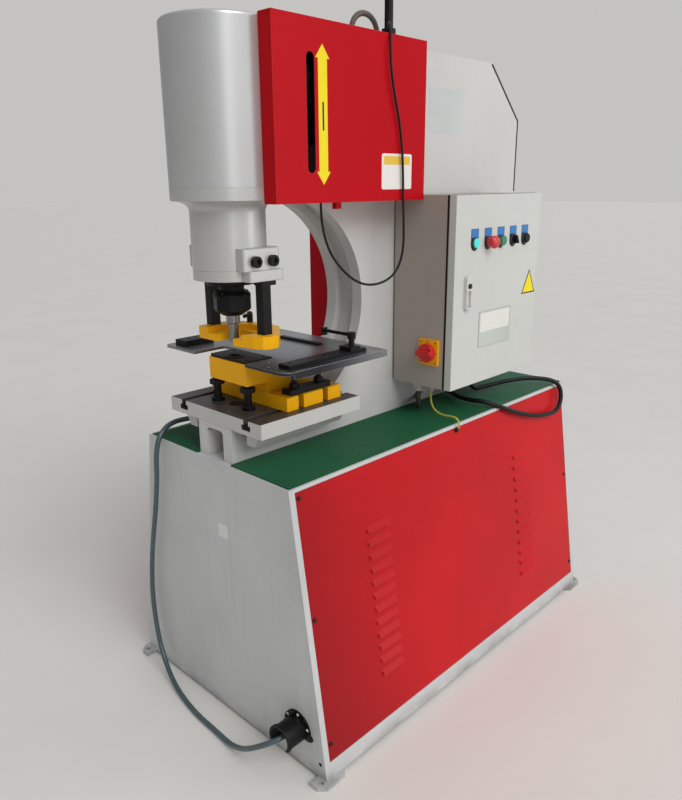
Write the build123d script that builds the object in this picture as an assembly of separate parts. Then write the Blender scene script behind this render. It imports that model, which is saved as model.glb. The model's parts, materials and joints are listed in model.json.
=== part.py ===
"""Hydraulic C frame punching machine on a floor standing base.

The punch comes down over a die at the front end, where the operator stands. The front
looks along minus Y, and the electrical cabinet hangs on the plus X side, called near.
Every piece is measured in mm from the outer face of the front end plate, and save moves
it so that the middle of the machine's footprint on the floor is the origin.
"""

import os
from math import atan2, cos, degrees, radians, sin, sqrt, tan

from build123d import *

os.makedirs("parts", exist_ok=True)

# Base, a welded box that is wider at the floor than at the top
base_length = 1446.0
base_height = 848.0
base_top_width = 654.0
base_floor_width = 900.0
end_plate = 8.0
deck_plate = 8.0
side_plate = 6.0
foot_height = 12.0
foot_length = 112.0
foot_reach = 34.0
foot_overhang = 16.0
foot_inset = 34.0
foot_clip = 22.0
foot_bolt_hole = 18.0
foot_bolt_edge = 20.0
tray_height = 52.0
tray_plate = 5.0

# Side panels, sheet steel let into the side frames
panel_sheet = 2.0
panel_gap = 1.0
panel_front_border = 20.0
panel_rear_border = 16.0
panel_top_border = 10.0
panel_bottom_border = 48.0
panel_ledge = 24.0
louvre_length = 92.0
louvre_pitch = 40.3
louvre_count = 12
louvre_depth = 9.0
louvre_rise = 16.0
louvre_columns = (267.0, 1053.0)
louvre_lowest = 199.0
screw_heights = (110.0, 480.0, 820.0)
screw_inset = 12.0
screw_radius = 3.0

# Ribbed rubber mat on the deck
mat_sheet = 3.0
mat_rib = 2.0
mat_rib_pitch = 12.0
mat_edge_gap = 7.0
mat_frame_gap = 3.0

# C frame, two thick side plates with webs between them
frame_width = 152.0
frame_plate = 39.0
frame_web = 16.0
frame_front = 17.5
frame_rear_inset = 22.0
frame_over_cylinder = 10.0
frame_rear_slope = 190.0
frame_shoulder_drop = 178.0
throat_radius = 315.0
throat_y = 236.5
throat_rise = 261.5
throat_web_recess = 25.0
leg_web_y = 150.0
weld_radius = 12.0

# Table with two T slots
table_width = 418.0
table_front = 16.0
table_rear = 399.0
table_rise = 146.0
table_thickness = 42.0
slot_spacing = 288.0
slot_neck_width = 22.0
slot_neck_depth = 14.0
slot_head_width = 38.0
slot_head_depth = 15.0
table_rib_depth = 41.0
table_rib_width = 32.0

# Cylinder and head
axis_y = 103.0
cylinder_radius = 148.5
cylinder_height = 397.0
rim_radius = 9.0
shell_wall = 7.0
barrel_radius = 118.0
bore_radius = 90.0
barrel_height = 292.0
cap_thickness = 22.0
cap_spigot = 12.0
head_flange = 33.0
neck_radius = 101.5
neck_fillet = 27.0
neck_height = 152.0
lug_height = 59.0
lug_half_width = 121.0
lug_front = 54.0
lug_rear = 177.0
carrier_thickness = 28.0
carrier_half_width = 130.0
carrier_front = 66.5
carrier_rear = 182.0
gland_radius = 70.0
gland_thickness = 14.0
lug_screws = (91.0, 149.0)
lug_screw_rise = 24.0
lug_screw_radius = 15.0
lug_screw_head = 15.0

# Ram, punch and stroke
ram_radius = 35.0
running_gap = 0.05
bush_wall = 12.0
piston_height = 120.0
piston_gap = 6.0
stroke = 50.0
nut_gap = 20.0
nut_radius = 52.0
nut_height = 54.0
nut_taper = 13.0
nut_nose_radius = 28.0
nut_flats = 8
punch_head_radius = 27.0
punch_head_height = 18.0
punch_shank_radius = 19.0
punch_radius = 14.5
punch_shank_length = 37.0
punch_entry = 8.0
nose_gap = 7.0
tail_rod_radius = 15.0
piston_seat_radius = 25.0
trip_bar_width = 12.0
trip_bar_rise = 14.0
trip_dog = 5.0
trip_dog_height = 28.0
trip_arm_thickness = 12.0
trip_arm_width = 24.0
trip_x = 172.0
trip_y = 232.0

# Stripper fork and its two posts
post_size = 30.0
post_x = 115.0
post_y = 120.0
post_plate = 12.0
post_plate_reach = 18.0
fork_lift = 42.0
fork_thickness = 34.0
fork_near_edge = 47.0
fork_far_edge = -38.0
fork_front = 61.0
fork_far_front = 71.0
fork_end = 41.0
fork_bridge_front = 158.0
fork_bridge_rear = 228.0
fork_recess_radius = 85.0
fork_recess = 14.0
nozzle_x = -57.0
nozzle_y = 208.0
nozzle_rise = 24.0
nozzle_reach = 40.0

# Die shoe, die holder and die
shoe_foot_half = 172.0
shoe_foot_front = 142.0
shoe_foot_rear = 354.0
shoe_foot_height = 39.0
shoe_slot_width = 20.0
shoe_slots = (195.5, 291.0)
shoe_slot_depth = 48.0
shoe_head_half = 84.0
shoe_head_front = 74.0
shoe_head_rear = 236.0
shoe_head_height = 62.0
shoe_web_front = 148.0
shoe_height = 132.0
holder_thickness = 8.0
die_radius = 25.0
die_gap = 0.6
die_height = 32.0
slug_radius = 22.0
jack_x = 70.0
jack_y = 87.0
jack_radius = 11.0
bolt_radius = 8.0
strap_height = 16.0
support_gap = 1.0

# Work support plate round the die
support_near = 265.0
support_far = -284.0
support_front = 58.0
support_rear = 456.0
support_cut_near = 100.0
support_cut_far = -133.0
support_cut_rear = 166.0
rail_width = 16.0
rail_height = 20.0
support_corner = 30.0
gauge_x = 212.0
gauge_width = 44.0
gauge_height = 10.0

# Red covers
cover_sheet = 3.0
cover_outer = 196.5
cover_front = 107.0
cover_gap_to_cabinet = 3.0
cover_skirt = 42.0
cover_rise = 2.0
cover_slot_width = 29.0
cover_slot_rise = 75.0
cover_slot_drop = 78.0
far_cover_length = 529.0
far_cover_inset = 326.0
far_cover_lift = 52.0
far_cover_drop = 11.0
cover_gap = 0.5
control_hole_x = 140.0
control_hole_back = 385.0
cord_hole_radius = 5.0

# Limit switches behind the slot
rail_x = 140.0
rail_sheet = 6.0
limit_rail_width = 40.0
switch_body = 40.0
upper_switch_drop = 54.0
switch_spacing = 60.0
rail_y = 282.0
rail_below = 100.0
rail_above = 70.0
rail_slot = 5.0
slide_gap = 0.1

# Electrical cabinet on the near side of the C frame
cabinet_rear_inset = 244.0
cabinet_width = 498.0
cabinet_lift = 113.0
cabinet_height = 604.0
cabinet_sheet = 2.5
cabinet_spacer = 8.0
cabinet_lip = 18.0
door_seam = 293.0
door_outer = 319.0
door_gap = 1.0
door_sheet = 2.0
hinge_radius = 6.0
hinge_length = 46.0
hinge_pin = 3.0
hinge_inset = 60.0
device_rise = 459.0
device_pitch = 74.0
device_inset = 101.0
device_hole = 11.0
device_travel = 4.0
bezel_base = 2.0
bezel_radius = 18.0
cap_radius = 15.0
stem_radius = 5.0
stem_length = 19.0
lock_inset = 68.0
lock_rise = 309.0
lock_height = 106.0
lock_width = 28.0
lock_depth = 12.0
lock_button_radius = 8.0
lock_travel = 3.0
lock_pocket = 9.0
switch_x = 233.0
switch_rise = 118.0
switch_plate_width = 76.0
switch_plate_height = 84.0
switch_plate_depth = 10.0
knob_radius = 30.0
knob_depth = 30.0

# Power unit inside the base
tank_front = 150.0
tank_length = 640.0
tank_width = 420.0
tank_height = 330.0
tank_sheet = 3.0
lid_thickness = 10.0
motor_radius = 90.0
motor_length = 240.0
motor_front = 190.0
shaft_lift = 112.0
shaft_radius = 14.0
bell_length = 90.0
pump_length = 110.0

# Two pipes from the valve block up to the barrel
pipe_x = 18.0
pipe_rear_inset = 496.0
pipe_radius = 11.0
pipe_rise = 107.0
pipe_hole_radius = 40.0
pipe_bend = 50.0

# Cable hood on the front end plate
hood_inset = 94.35
hood_z = 132.0
hood_flange_radius = 52.0
hood_pipe_radius = 38.0
hood_wall = 5.0
hood_length = 72.0

# Post on top of the C frame
mast_x = 60.0
mast_setback = 14.0
mast_radius = 13.0
mast_foot = 10.0
mast_height = 150.0

# Cables and hoses, and the holes of the glands that they leave the cabinet by
hose_radius = 8.0
control_radius = 3.5
power_radius = 8.0
earth_radius = 3.0
earth_setback = 25.0
earth_drop = 18.0
conduit_radius = 8.0
arch_radius = 8.5
gland_gap = 0.5
gland_reach = 22.0

# Places worked out from the driving sizes
table_top = base_height + table_rise
throat_z = table_top + throat_rise
shoe_top = table_top + shoe_height
support_top = shoe_top + holder_thickness
die_top = support_top + 2
fork_bottom = support_top + fork_lift
fork_top = fork_bottom + fork_thickness
nut_low = fork_top - fork_recess + nose_gap + stroke + nut_taper
nut_top = nut_low + nut_height
gland_bottom = nut_top + nut_gap
carrier_bottom = gland_bottom + gland_thickness
lug_bottom = carrier_bottom + carrier_thickness
lug_top = lug_bottom + lug_height
lug_screw_z = lug_bottom + lug_screw_rise
cylinder_seam = lug_top + neck_height
cylinder_top = cylinder_seam + cylinder_height
barrel_top = cylinder_seam + barrel_height
frame_top = cylinder_top + frame_over_cylinder
frame_shoulder = frame_top - frame_shoulder_drop
frame_rear = base_length - frame_rear_inset
frame_rear_corner = frame_rear - frame_rear_slope
punch_shoulder = nut_low - punch_shank_length
punch_tip = die_top + stroke - punch_entry
nozzle_z = fork_top + nozzle_rise
cabinet_rear = base_length - cabinet_rear_inset
cabinet_front = cabinet_rear - cabinet_width
cabinet_bottom = base_height + cabinet_lift
device_z = cabinet_bottom + device_rise
device_first = cabinet_front + device_inset
lock_y = cabinet_front + lock_inset
lock_z = cabinet_bottom + lock_rise
switch_z = cabinet_bottom + switch_rise
cover_rear = cabinet_front - cover_gap_to_cabinet
cover_bottom = cylinder_seam - cover_skirt
cover_top = cylinder_top + cover_rise
cover_slot_low = cover_bottom + cover_slot_rise
cover_slot_high = cover_top - cover_slot_drop
far_cover_rear = base_length - far_cover_inset
far_cover_front = far_cover_rear - far_cover_length
far_cover_bottom = base_height + far_cover_lift
far_cover_top = cover_bottom - far_cover_drop
control_hole_y = cover_rear - control_hole_back
upper_switch_z = cover_slot_high - upper_switch_drop
lower_switch_z = upper_switch_z - switch_spacing
rail_low = lower_switch_z - rail_below
rail_high = upper_switch_z + rail_above
trip_bar_low = cover_slot_low + trip_bar_rise
pipe_y = base_length - pipe_rear_inset
pipe_high = cylinder_seam + pipe_rise
mast_y = cabinet_front - mast_setback
mast_top = frame_top + mast_height
earth_y = cabinet_front + earth_setback
earth_z = base_height - earth_drop
frame_half = frame_width / 2
frame_inner = frame_half - frame_plate
tray_top = tray_height + tray_plate
throat_top = throat_z + throat_radius
table_bottom = table_top - table_thickness
head_flange_low = cylinder_seam - head_flange
neck_fillet_low = head_flange_low - neck_fillet
chamber_top = barrel_top - cap_spigot
piston_top = chamber_top - piston_gap
piston_low = piston_top - piston_height
ram_end = nut_low + punch_head_height + 6
bush_radius = ram_radius + bush_wall
foot_top = table_top + shoe_foot_height
shoe_head_low = shoe_top - shoe_head_height
die_low = shoe_top + holder_thickness + 2 - die_height
cap_top = barrel_top + cap_thickness
trip_low = cap_top + stroke + 3
trip_high = trip_low + trip_arm_thickness
cabinet_top = cabinet_bottom + cabinet_height
cabinet_back = frame_half + cabinet_spacer
trip_angle = degrees(atan2(trip_y - axis_y, trip_x))
trip_reach = sqrt(trip_x**2 + (trip_y - axis_y) ** 2)
hinge_heights = (cabinet_bottom + hinge_inset, cabinet_top - hinge_inset)
hinge_x = door_seam + door_gap
hinge_y = cabinet_rear + hinge_radius + 1
lean = atan2((base_floor_width - base_top_width) / 2, base_height - foot_height)
slope_length = (base_height - foot_height) / cos(lean)
panel_front = panel_front_border
panel_rear = base_length - panel_rear_border
panel_low = panel_bottom_border
panel_high = slope_length - panel_top_border
tank_top = tray_top + tank_height
shaft_z = tank_top + lid_thickness + shaft_lift


def half_width(z):
    """Half the base's outside width at a height."""
    return base_floor_width / 2 - (z - foot_height) * tan(lean)


hood_x = half_width(hood_z) - hood_inset
deck = base_height
side = base_top_width / 2
rear = base_length
door_y = cabinet_front
glands = (
    (190.0, door_y + 296, power_radius + gland_gap),
    (220.0, door_y + 30, earth_radius + gland_gap),
    (180.0, door_y + 16, conduit_radius + gland_gap),
)
gland_z = cabinet_bottom - gland_reach + 1

# Routes of cables and hoses, as the points that their straight runs meet at
hose_route = (
    (hood_x, 4, hood_z),
    (hood_x, -36, hood_z),
    (hood_x - 7, -75, hood_z - 3.5),
    (hood_x - 35, -101, hood_z - 21),
    (hood_x - 81, -108, hood_z - 56),
    (hood_x - 136, -104, 37),
    (hood_x - 198, -98, 12),
    (64, -92, hose_radius + 0.5),
    (-30, -90, hose_radius + 0.2),
    (-120, -78, hose_radius + 0.5),
    (-200, -62, 14),
    (-266, -46, 40),
    (-314, -36, 92),
    (-341, -30, 168),
    (-351, -28, 0.309 * deck),
    (-346, -26, 0.4245 * deck),
    (-328, -26, 0.5366 * deck),
    (-302, -26, 0.6486 * deck),
    (-277, -26, 0.7606 * deck),
    (-256, -28, 0.8667 * deck),
    (-246, -31, deck - 40),
    (-249, -12, deck + 18),
    (-262, 38, deck + 44),
    (-244, 100, deck + 49),
    (-202, 156, deck + 49),
    (-154, 196, deck + 45),
    (-110, 216, deck + 41),
    (10 - frame_half, 226, deck + 40),
)
control_route = (
    (mast_x + 15, door_y - 32, frame_top + 28),
    (100, door_y - 64, frame_top + 37),
    (133, door_y - 100, frame_top + 36),
    (166, door_y - 135, frame_top + 28),
    (194, door_y - 162, frame_top + 6),
    (cover_outer + 10.5, door_y - 178, frame_top - 34),
    (cover_outer + 11.5, door_y - 176, frame_top - 95),
    (cover_outer + 10.5, door_y - 159, frame_top - 160),
    (cover_outer + 9.5, door_y - 136, frame_top - 225),
    (cover_outer + 8.5, door_y - 120, cover_bottom + 154),
    (cover_outer + 8.5, door_y - 114, cover_bottom + 79),
    (cover_outer + 7.5, door_y - 110, cover_bottom - 1),
    (cover_outer + 6.5, door_y - 104, cover_bottom - 76),
    (cover_outer + 5.5, door_y - 103, cover_bottom - 141),
    (cover_outer + 2.5, door_y - 119, cover_bottom - 193),
    (cover_outer - 0.5, door_y - 154, cover_bottom - 224),
    (190, door_y - 202, cover_bottom - 238),
    (180, door_y - 249, cover_bottom - 237),
    (168, door_y - 292, cover_bottom - 217),
    (156, door_y - 332, cover_bottom - 180),
    (147, door_y - 364, cover_bottom - 134),
    (142, door_y - 382, cover_bottom - 80),
    (control_hole_x, control_hole_y, cover_bottom - 29),
    (control_hole_x, control_hole_y, cover_bottom + 5),
)
power_route = (
    (190, door_y + 296, cabinet_bottom - 13),
    (190, door_y + 296, deck + 76.7),
    (190.5, door_y + 304.7, deck + 55.7),
    (192, door_y + 320.6, deck + 39.7),
    (194.3, door_y + 341.6, deck + 31),
    (199, door_y + 381, deck + 30),
    (212, rear - 286, deck + 32),
    (side - 89, rear - 218, deck + 36),
    (side - 53, rear - 162, deck + 38),
    (side - 19, rear - 121, deck + 33),
    (side + 9, rear - 92, deck + 24),
    (side + 20, rear - 61.7, deck),
    (side + 25, rear - 50, deck - 36),
    (side + 29, rear - 61.7, deck - 72),
    (side + 31, rear - 92.2, deck - 94),
    (side + 31, rear - 160, deck - 91),
    (side + 30, rear - 248, deck - 75),
    (side + 26, rear - 341, deck - 47),
    (side + 20, rear - 421, deck - 16),
    (side + 5, rear - 479, deck + 12),
    (side - 28, rear - 515, deck + 28),
    (side - 80, rear - 521, deck + 24),
    (190, rear - 501, deck + 18),
    (134, rear - 471, deck + 18),
    (frame_half - 1, rear - 450, deck + 25),
)
earth_route = (
    (220, door_y + 30, gland_z),
    (220, door_y + 30, deck + 68),
    (226, door_y + 30, deck + 43),
    (243, door_y + 29, deck + 27),
    (268, door_y + 28, deck + 20),
    (side - 31, door_y + 27, deck + 21),
    (side - 15, door_y + 26, deck + 24),
    (side + 4, earth_y, deck + 22),
    (side + 15, earth_y, deck + 8),
    (side + 12, earth_y, deck - 10),
)
conduit_route = (
    (180, door_y + 16, gland_z),
    (180, door_y + 16, deck + 68),
    (174.3, door_y + 23.1, deck + 44),
    (163.8, door_y + 36.3, deck + 27.1),
    (149.9, door_y + 53.6, deck + 18),
    (122.5, door_y + 87.8, deck + 19),
    (frame_half - 8, door_y + 156, deck + 28),
)
arch_x = 10.0
arch_front = cover_rear - 124
arch_rear = cover_rear - 2
arch_route = (
    (arch_x, arch_front, frame_top - 3),
    (arch_x, arch_front, frame_top + 46),
    (arch_x, arch_front + 35, frame_top + 82),
    (arch_x, arch_rear - 36, frame_top + 83),
    (arch_x, arch_rear - 1, frame_top + 47),
    (arch_x, arch_rear, frame_top - 3),
)


def block(x0, x1, y0, y1, z0, z1):
    """A box between two corners."""
    size = Box(x1 - x0, y1 - y0, z1 - z0)
    return Pos((x0 + x1) / 2, (y0 + y1) / 2, (z0 + z1) / 2) * size


def upright(radius, x, y, z0, z1):
    """A round bar along Z."""
    return Pos(x, y, (z0 + z1) / 2) * Cylinder(radius, z1 - z0)


def crosswise(radius, y, z, x0, x1):
    """A round bar along X."""
    return Pos((x0 + x1) / 2, y, z) * Rot(0, 90, 0) * Cylinder(radius, x1 - x0)


def lengthwise(radius, x, z, y0, y1):
    """A round bar along Y."""
    return Pos(x, (y0 + y1) / 2, z) * Rot(90, 0, 0) * Cylinder(radius, y1 - y0)


def side_outline(points, x0, x1):
    """An outline in Y and Z between two X values."""
    face = Plane.YZ * Polygon(*points, align=None)
    return Pos(x0, 0, 0) * extrude(face, x1 - x0, dir=(1, 0, 0))


def front_outline(points, y0, y1):
    """An outline in X and Z between two Y values."""
    face = Plane.XZ * Polygon(*points, align=None)
    return Pos(0, y0, 0) * extrude(face, y1 - y0, dir=(0, 1, 0))


def plan_outline(points, z0, z1):
    """An outline in X and Y between two heights."""
    return Pos(0, 0, z0) * extrude(Polygon(*points, align=None), z1 - z0, dir=(0, 0, 1))


def hex_bar(across, x, y, z0, z1):
    """A hexagon bar along Z."""
    face = RegularPolygon(across / 2, 6, major_radius=False)
    return Pos(x, y, z0) * extrude(face, z1 - z0)


def save(shape, name):
    """Moves a piece to the machine's own frame and writes it."""
    placed = [Pos(0, -base_length / 2, 0) * piece for piece in shape.solids()]
    result = placed[0] if len(placed) == 1 else Compound(children=placed)
    export_step(result, "parts/" + name + ".step")


# The near side frame's plane: along Y, up the slope, and outward
side_plane = Plane(
    origin=(base_floor_width / 2, 0, foot_height),
    x_dir=(0, 1, 0),
    z_dir=(cos(lean), 0, sin(lean)),
)


def up_slope(z):
    """The distance up the slope to a height."""
    return (z - foot_height) / cos(lean)


def on_side(y0, y1, s0, s1, d0, d1):
    """A slab on the near side plane: along, up the slope and outward."""
    return side_plane * block(y0, y1, s0, s1, d0, d1)


def side_wedge(points, y0, y1):
    """A section of slope and outward distances, run along Y on the near side plane."""
    return side_plane * side_outline(points, y0, y1)


def make_foot(front, hand):
    """A flat foot with clipped outer corners and a bolt hole."""
    inner = base_floor_width / 2 - foot_inset
    outer = base_floor_width / 2 + foot_overhang
    rear = front + foot_length
    outline = [
        (inner, front),
        (outer - foot_clip, front),
        (outer, front + foot_clip),
        (outer, rear - foot_clip),
        (outer - foot_clip, rear),
        (inner, rear),
    ]
    foot = plan_outline(outline, 0, foot_height)
    hole_y = front + foot_bolt_edge if front < 0 else rear - foot_bolt_edge
    hole_x = base_floor_width / 2 - foot_bolt_edge / 2
    foot -= upright(foot_bolt_hole / 2, hole_x, hole_y, -1, foot_height + 1)
    return foot if hand > 0 else mirror(foot, Plane.YZ)


def base_section(low, high, inset):
    """The base's outline in X and Z between two heights, less a wall each side."""
    return [
        (-half_width(low) + inset, low),
        (half_width(low) - inset, low),
        (half_width(high) - inset, high),
        (-half_width(high) + inset, high),
    ]


def make_base_frame():
    """End plates, deck, side frames, drip tray and feet in one weldment."""
    ends = base_section(foot_height, base_height, 0)
    body = front_outline(ends, 0, end_plate)
    body += front_outline(ends, base_length - end_plate, base_length)
    deck_low = base_height - deck_plate
    deck = base_section(deck_low, base_height, 0)
    body += front_outline(deck, end_plate, base_length - end_plate)
    tray = base_section(tray_height, tray_top, side_plate)
    body += front_outline(tray, end_plate, base_length - end_plate)
    side = on_side(end_plate, base_length - end_plate, 0, slope_length, -side_plate, 0)
    recess = panel_sheet + panel_gap
    side -= on_side(panel_front, panel_rear, panel_low, panel_high, -recess, 1)
    window = (
        panel_front + panel_ledge,
        panel_rear - panel_ledge,
        panel_low + panel_ledge,
        panel_high - panel_ledge,
    )
    side -= on_side(*window, -side_plate - 1, 1)
    for y in (panel_front + screw_inset, panel_rear - screw_inset):
        for height in screw_heights:
            hole = Pos(y, up_slope(height), 0) * Cylinder(screw_radius, 40)
            side -= side_plane * hole
    body += side
    body += mirror(side, Plane.YZ)
    for front in (-foot_reach, base_length + foot_reach - foot_length):
        for hand in (-1, 1):
            body += make_foot(front, hand)
    body -= upright(pipe_hole_radius, 0, pipe_y, deck_low - 1, base_height + 1)
    body -= lengthwise(hose_radius + 2, hood_x, hood_z, -1, end_plate + 1)
    body -= side_plane * Pos(earth_y, up_slope(earth_z), 0) * Cylinder(4.2, 40)
    save(body, "base_frame")


def louvre_cowl(y, s):
    """The raised skin of one louvre, open along its lower edge."""
    base = -panel_gap
    peak = base + louvre_depth
    skin = [(s, base), (s, peak), (s + louvre_rise, base)]
    inside = [
        (s - 1, base - 1),
        (s - 1, peak - 1.6 * panel_sheet),
        (s + panel_sheet, peak - 2.4 * panel_sheet),
        (s + louvre_rise - 2.6 * panel_sheet, base - 1),
    ]
    cowl = side_wedge(skin, y, y + louvre_length)
    return cowl - side_wedge(inside, y + panel_sheet, y + louvre_length - panel_sheet)


def louvre_slot(y, s):
    """The hole through the sheet behind one louvre."""
    rear = y + louvre_length - panel_sheet
    top = s + louvre_rise - 3.4 * panel_sheet
    return on_side(y + panel_sheet, rear, s, top, -20, -panel_gap)


def make_side_panel():
    """A red sheet with two columns of pressed louvres."""
    front = panel_front + panel_gap
    rear = panel_rear - panel_gap
    low = panel_low + panel_gap
    high = panel_high - panel_gap
    sheet = on_side(front, rear, low, high, -panel_sheet - panel_gap, -panel_gap)
    slots = []
    cowls = []
    for column in louvre_columns:
        for row in range(louvre_count):
            s = up_slope(louvre_lowest + row * louvre_pitch)
            slots.append(louvre_slot(column, s))
            cowls.append(louvre_cowl(column, s))
    for y in (panel_front + screw_inset, panel_rear - screw_inset):
        for height in screw_heights:
            hole = Pos(y, up_slope(height), 0) * Cylinder(screw_radius + 0.3, 40)
            slots.append(side_plane * hole)
    return sheet - slots + cowls


def bore_for_earth(panel):
    """The near panel alone has a hole for the earth bolt."""
    return panel - side_plane * Pos(earth_y, up_slope(earth_z), 0) * Cylinder(4.5, 40)


def make_panel_screws():
    """Pan head screws that hold both side panels."""
    screws = []
    for y in (panel_front + screw_inset, panel_rear - screw_inset):
        for height in screw_heights:
            head = Cylinder(2.2 * screw_radius, 3)
            head = fillet(head.edges().group_by(Axis.Z)[-1], 1.4)
            shank = Pos(0, 0, -panel_sheet - 4) * Cylinder(screw_radius - 0.1, 10)
            screw = side_plane * Pos(y, up_slope(height), 1.5 - panel_gap) * (head + shank)
            screws.append(screw)
            screws.append(mirror(screw, Plane.YZ))
    stud = Pos(0, 0, 1) * Cylinder(4, 14) + Pos(0, 0, 3) * Cylinder(9, 2)
    stud += Pos(0, 0, 4) * extrude(RegularPolygon(5.5, 6, major_radius=False), 4)
    screws.append(side_plane * Pos(earth_y, up_slope(earth_z), 0) * stud)
    save(Compound(children=screws), "panel_screws")


def make_rubber_mat():
    """A sheet with ribs along Y, cut round the foot of the C frame."""
    half = base_top_width / 2 - mat_edge_gap
    outline = [(-half, 0), (half, 0), (half, mat_sheet)]
    count = int((2 * half - mat_rib_pitch / 2) / mat_rib_pitch)
    for rib in range(count):
        x = half - mat_rib_pitch / 2 - rib * mat_rib_pitch
        outline.append((x, mat_sheet))
        outline.append((x - 1.2, mat_sheet + mat_rib))
        outline.append((x - mat_rib_pitch / 2 + 1.2, mat_sheet + mat_rib))
        outline.append((x - mat_rib_pitch / 2, mat_sheet))
    outline.append((-half, mat_sheet))
    mat = front_outline(outline, mat_edge_gap, base_length - mat_edge_gap)
    mat = Pos(0, 0, base_height) * mat
    cut = frame_half + mat_frame_gap
    high = base_height + mat_sheet + mat_rib + 1
    mat -= block(-cut, cut, 0, frame_rear + mat_frame_gap, base_height - 1, high)
    return mat


def frame_profile():
    """The side plate's outline in Y and Z, with the throat cut out."""
    outline = Polygon(
        (frame_front, base_height),
        (frame_rear, base_height),
        (frame_rear, frame_shoulder),
        (frame_rear_corner, frame_top),
        (axis_y, frame_top),
        (axis_y, throat_top),
        (throat_y, throat_top),
        (throat_y, table_bottom),
        (frame_front, table_bottom),
        align=None,
    )
    throat = Pos(throat_y, throat_z) * Circle(throat_radius)
    below = Pos(throat_y, table_bottom - throat_radius) * Rectangle(
        4 * throat_radius, 2 * throat_radius
    )
    outline -= throat - below
    notch_length = table_rear - throat_y
    notch = Rectangle(notch_length, table_thickness, align=(Align.MIN, Align.MIN))
    return outline - Pos(throat_y, table_bottom) * notch


def frame_slice(sketch, x0, x1):
    """A sketch in Y and Z, made as thick as two X values say."""
    return Pos(x0, 0, 0) * extrude(Plane.YZ * sketch, x1 - x0, dir=(1, 0, 0))


def bore_along(route, radius):
    """A round bore along the last run of a route, through one side plate."""
    end = Vector(*route[-1])
    back = (Vector(*route[-2]) - end).normalized()
    return Plane(end - back * frame_plate, z_dir=back) * Cylinder(
        radius, 2.5 * frame_plate, align=(Align.CENTER, Align.CENTER, Align.MIN)
    )


def make_c_frame():
    """The weldment in two sets: the side plates, then the webs, seat and fillets between them."""
    profile = frame_profile()
    plates = frame_slice(profile, frame_inner, frame_half)
    plates += frame_slice(profile, -frame_half, -frame_inner)
    inner = throat_radius + throat_web_recess
    ring = Circle(inner + frame_web) - Circle(inner)
    keep = Rectangle(
        4 * throat_radius,
        throat_top + frame_web + throat_web_recess - table_bottom + frame_web,
        align=(Align.MIN, Align.MIN),
    )
    web = (Pos(throat_y, throat_z) * ring) & (Pos(throat_y, table_bottom - frame_web) * keep)
    saddle = Pos(frame_front, table_bottom - frame_web) * Rectangle(
        table_rear - frame_front, frame_web, align=(Align.MIN, Align.MIN)
    )
    back = Pos(frame_rear - frame_web, base_height) * Rectangle(
        frame_web, frame_shoulder - base_height, align=(Align.MIN, Align.MIN)
    )
    leg = Pos(leg_web_y, base_height) * Rectangle(
        frame_web, table_bottom - base_height, align=(Align.MIN, Align.MIN)
    )
    top = Polygon(
        (axis_y, frame_top),
        (axis_y, frame_top - frame_web),
        (frame_rear_corner - frame_web / 2, frame_top - frame_web),
        (frame_rear - frame_web, frame_shoulder - frame_web / 2),
        (frame_rear, frame_shoulder),
        (frame_rear_corner, frame_top),
        align=None,
    )
    seat = frame_slice(saddle, -frame_inner, frame_inner)
    webs = frame_slice(web, -frame_inner, frame_inner)
    for sketch in (back, leg, top):
        webs += frame_slice(sketch, -frame_inner, frame_inner)
    webs -= seat
    corners = []
    for hand in (-1, 1):
        x = hand * frame_inner
        centre = hand * (frame_inner - weld_radius)
        z = table_bottom - frame_web - weld_radius
        corner = block(min(x, centre), max(x, centre), frame_front, leg_web_y, z, z + weld_radius)
        corners.append(corner - lengthwise(weld_radius, centre, z, frame_front - 1, leg_web_y + 1))
    low = throat_top - 1
    cuts = [upright(cylinder_radius, 0, axis_y, low, frame_top + 1)]
    cuts.append(upright(slug_radius + 4, 0, axis_y, table_bottom - frame_web - 1, table_bottom + 1))
    cuts.append(block(-frame_half, frame_half, frame_front - 1, table_rear, table_bottom, table_top))
    sizes = (hose_radius, power_radius, conduit_radius)
    for route, size in zip((hose_route, power_route, conduit_route), sizes):
        cuts.append(bore_along(route, size + 5))
    for x, y, z in (arch_route[0], arch_route[-1]):
        cuts.append(upright(arch_radius + 1, x, y, z - 2, frame_top + 1))
    for cut in cuts:
        plates -= cut
        webs -= cut
        seat -= cut
    save(plates, "c_frame")
    save(Compound(children=[*webs.solids(), *seat.solids(), *corners]), "frame_webs")


def make_work_table():
    """A thick plate with two T slots, ribs under them and a slug hole."""
    half = table_width / 2
    body = block(-half, half, table_front, table_rear, table_bottom, table_top)
    body = chamfer(body.edges().group_by(Axis.Z)[-1], 2)
    for hand in (-1, 1):
        x = hand * slot_spacing / 2
        inner = x - hand * (slot_head_width / 2 + 9)
        low = table_bottom - table_rib_depth
        rib = [
            (inner, table_bottom),
            (inner, low),
            (inner + hand * table_rib_width, low),
            (inner + hand * (table_rib_width + 26), table_bottom),
        ]
        body += front_outline(rib, table_front + 24, table_rear - 24)
        neck = slot_neck_width / 2
        head = slot_head_width / 2
        low = table_top - slot_neck_depth
        deep = low - slot_head_depth
        body -= block(x - neck, x + neck, table_front - 1, table_rear + 1, low - 1, table_top + 1)
        body -= block(x - head, x + head, table_front - 1, table_rear + 1, deep, low)
    body -= upright(slug_radius + 4, 0, axis_y, table_bottom - 1, table_top + 1)
    save(body, "work_table")


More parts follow.
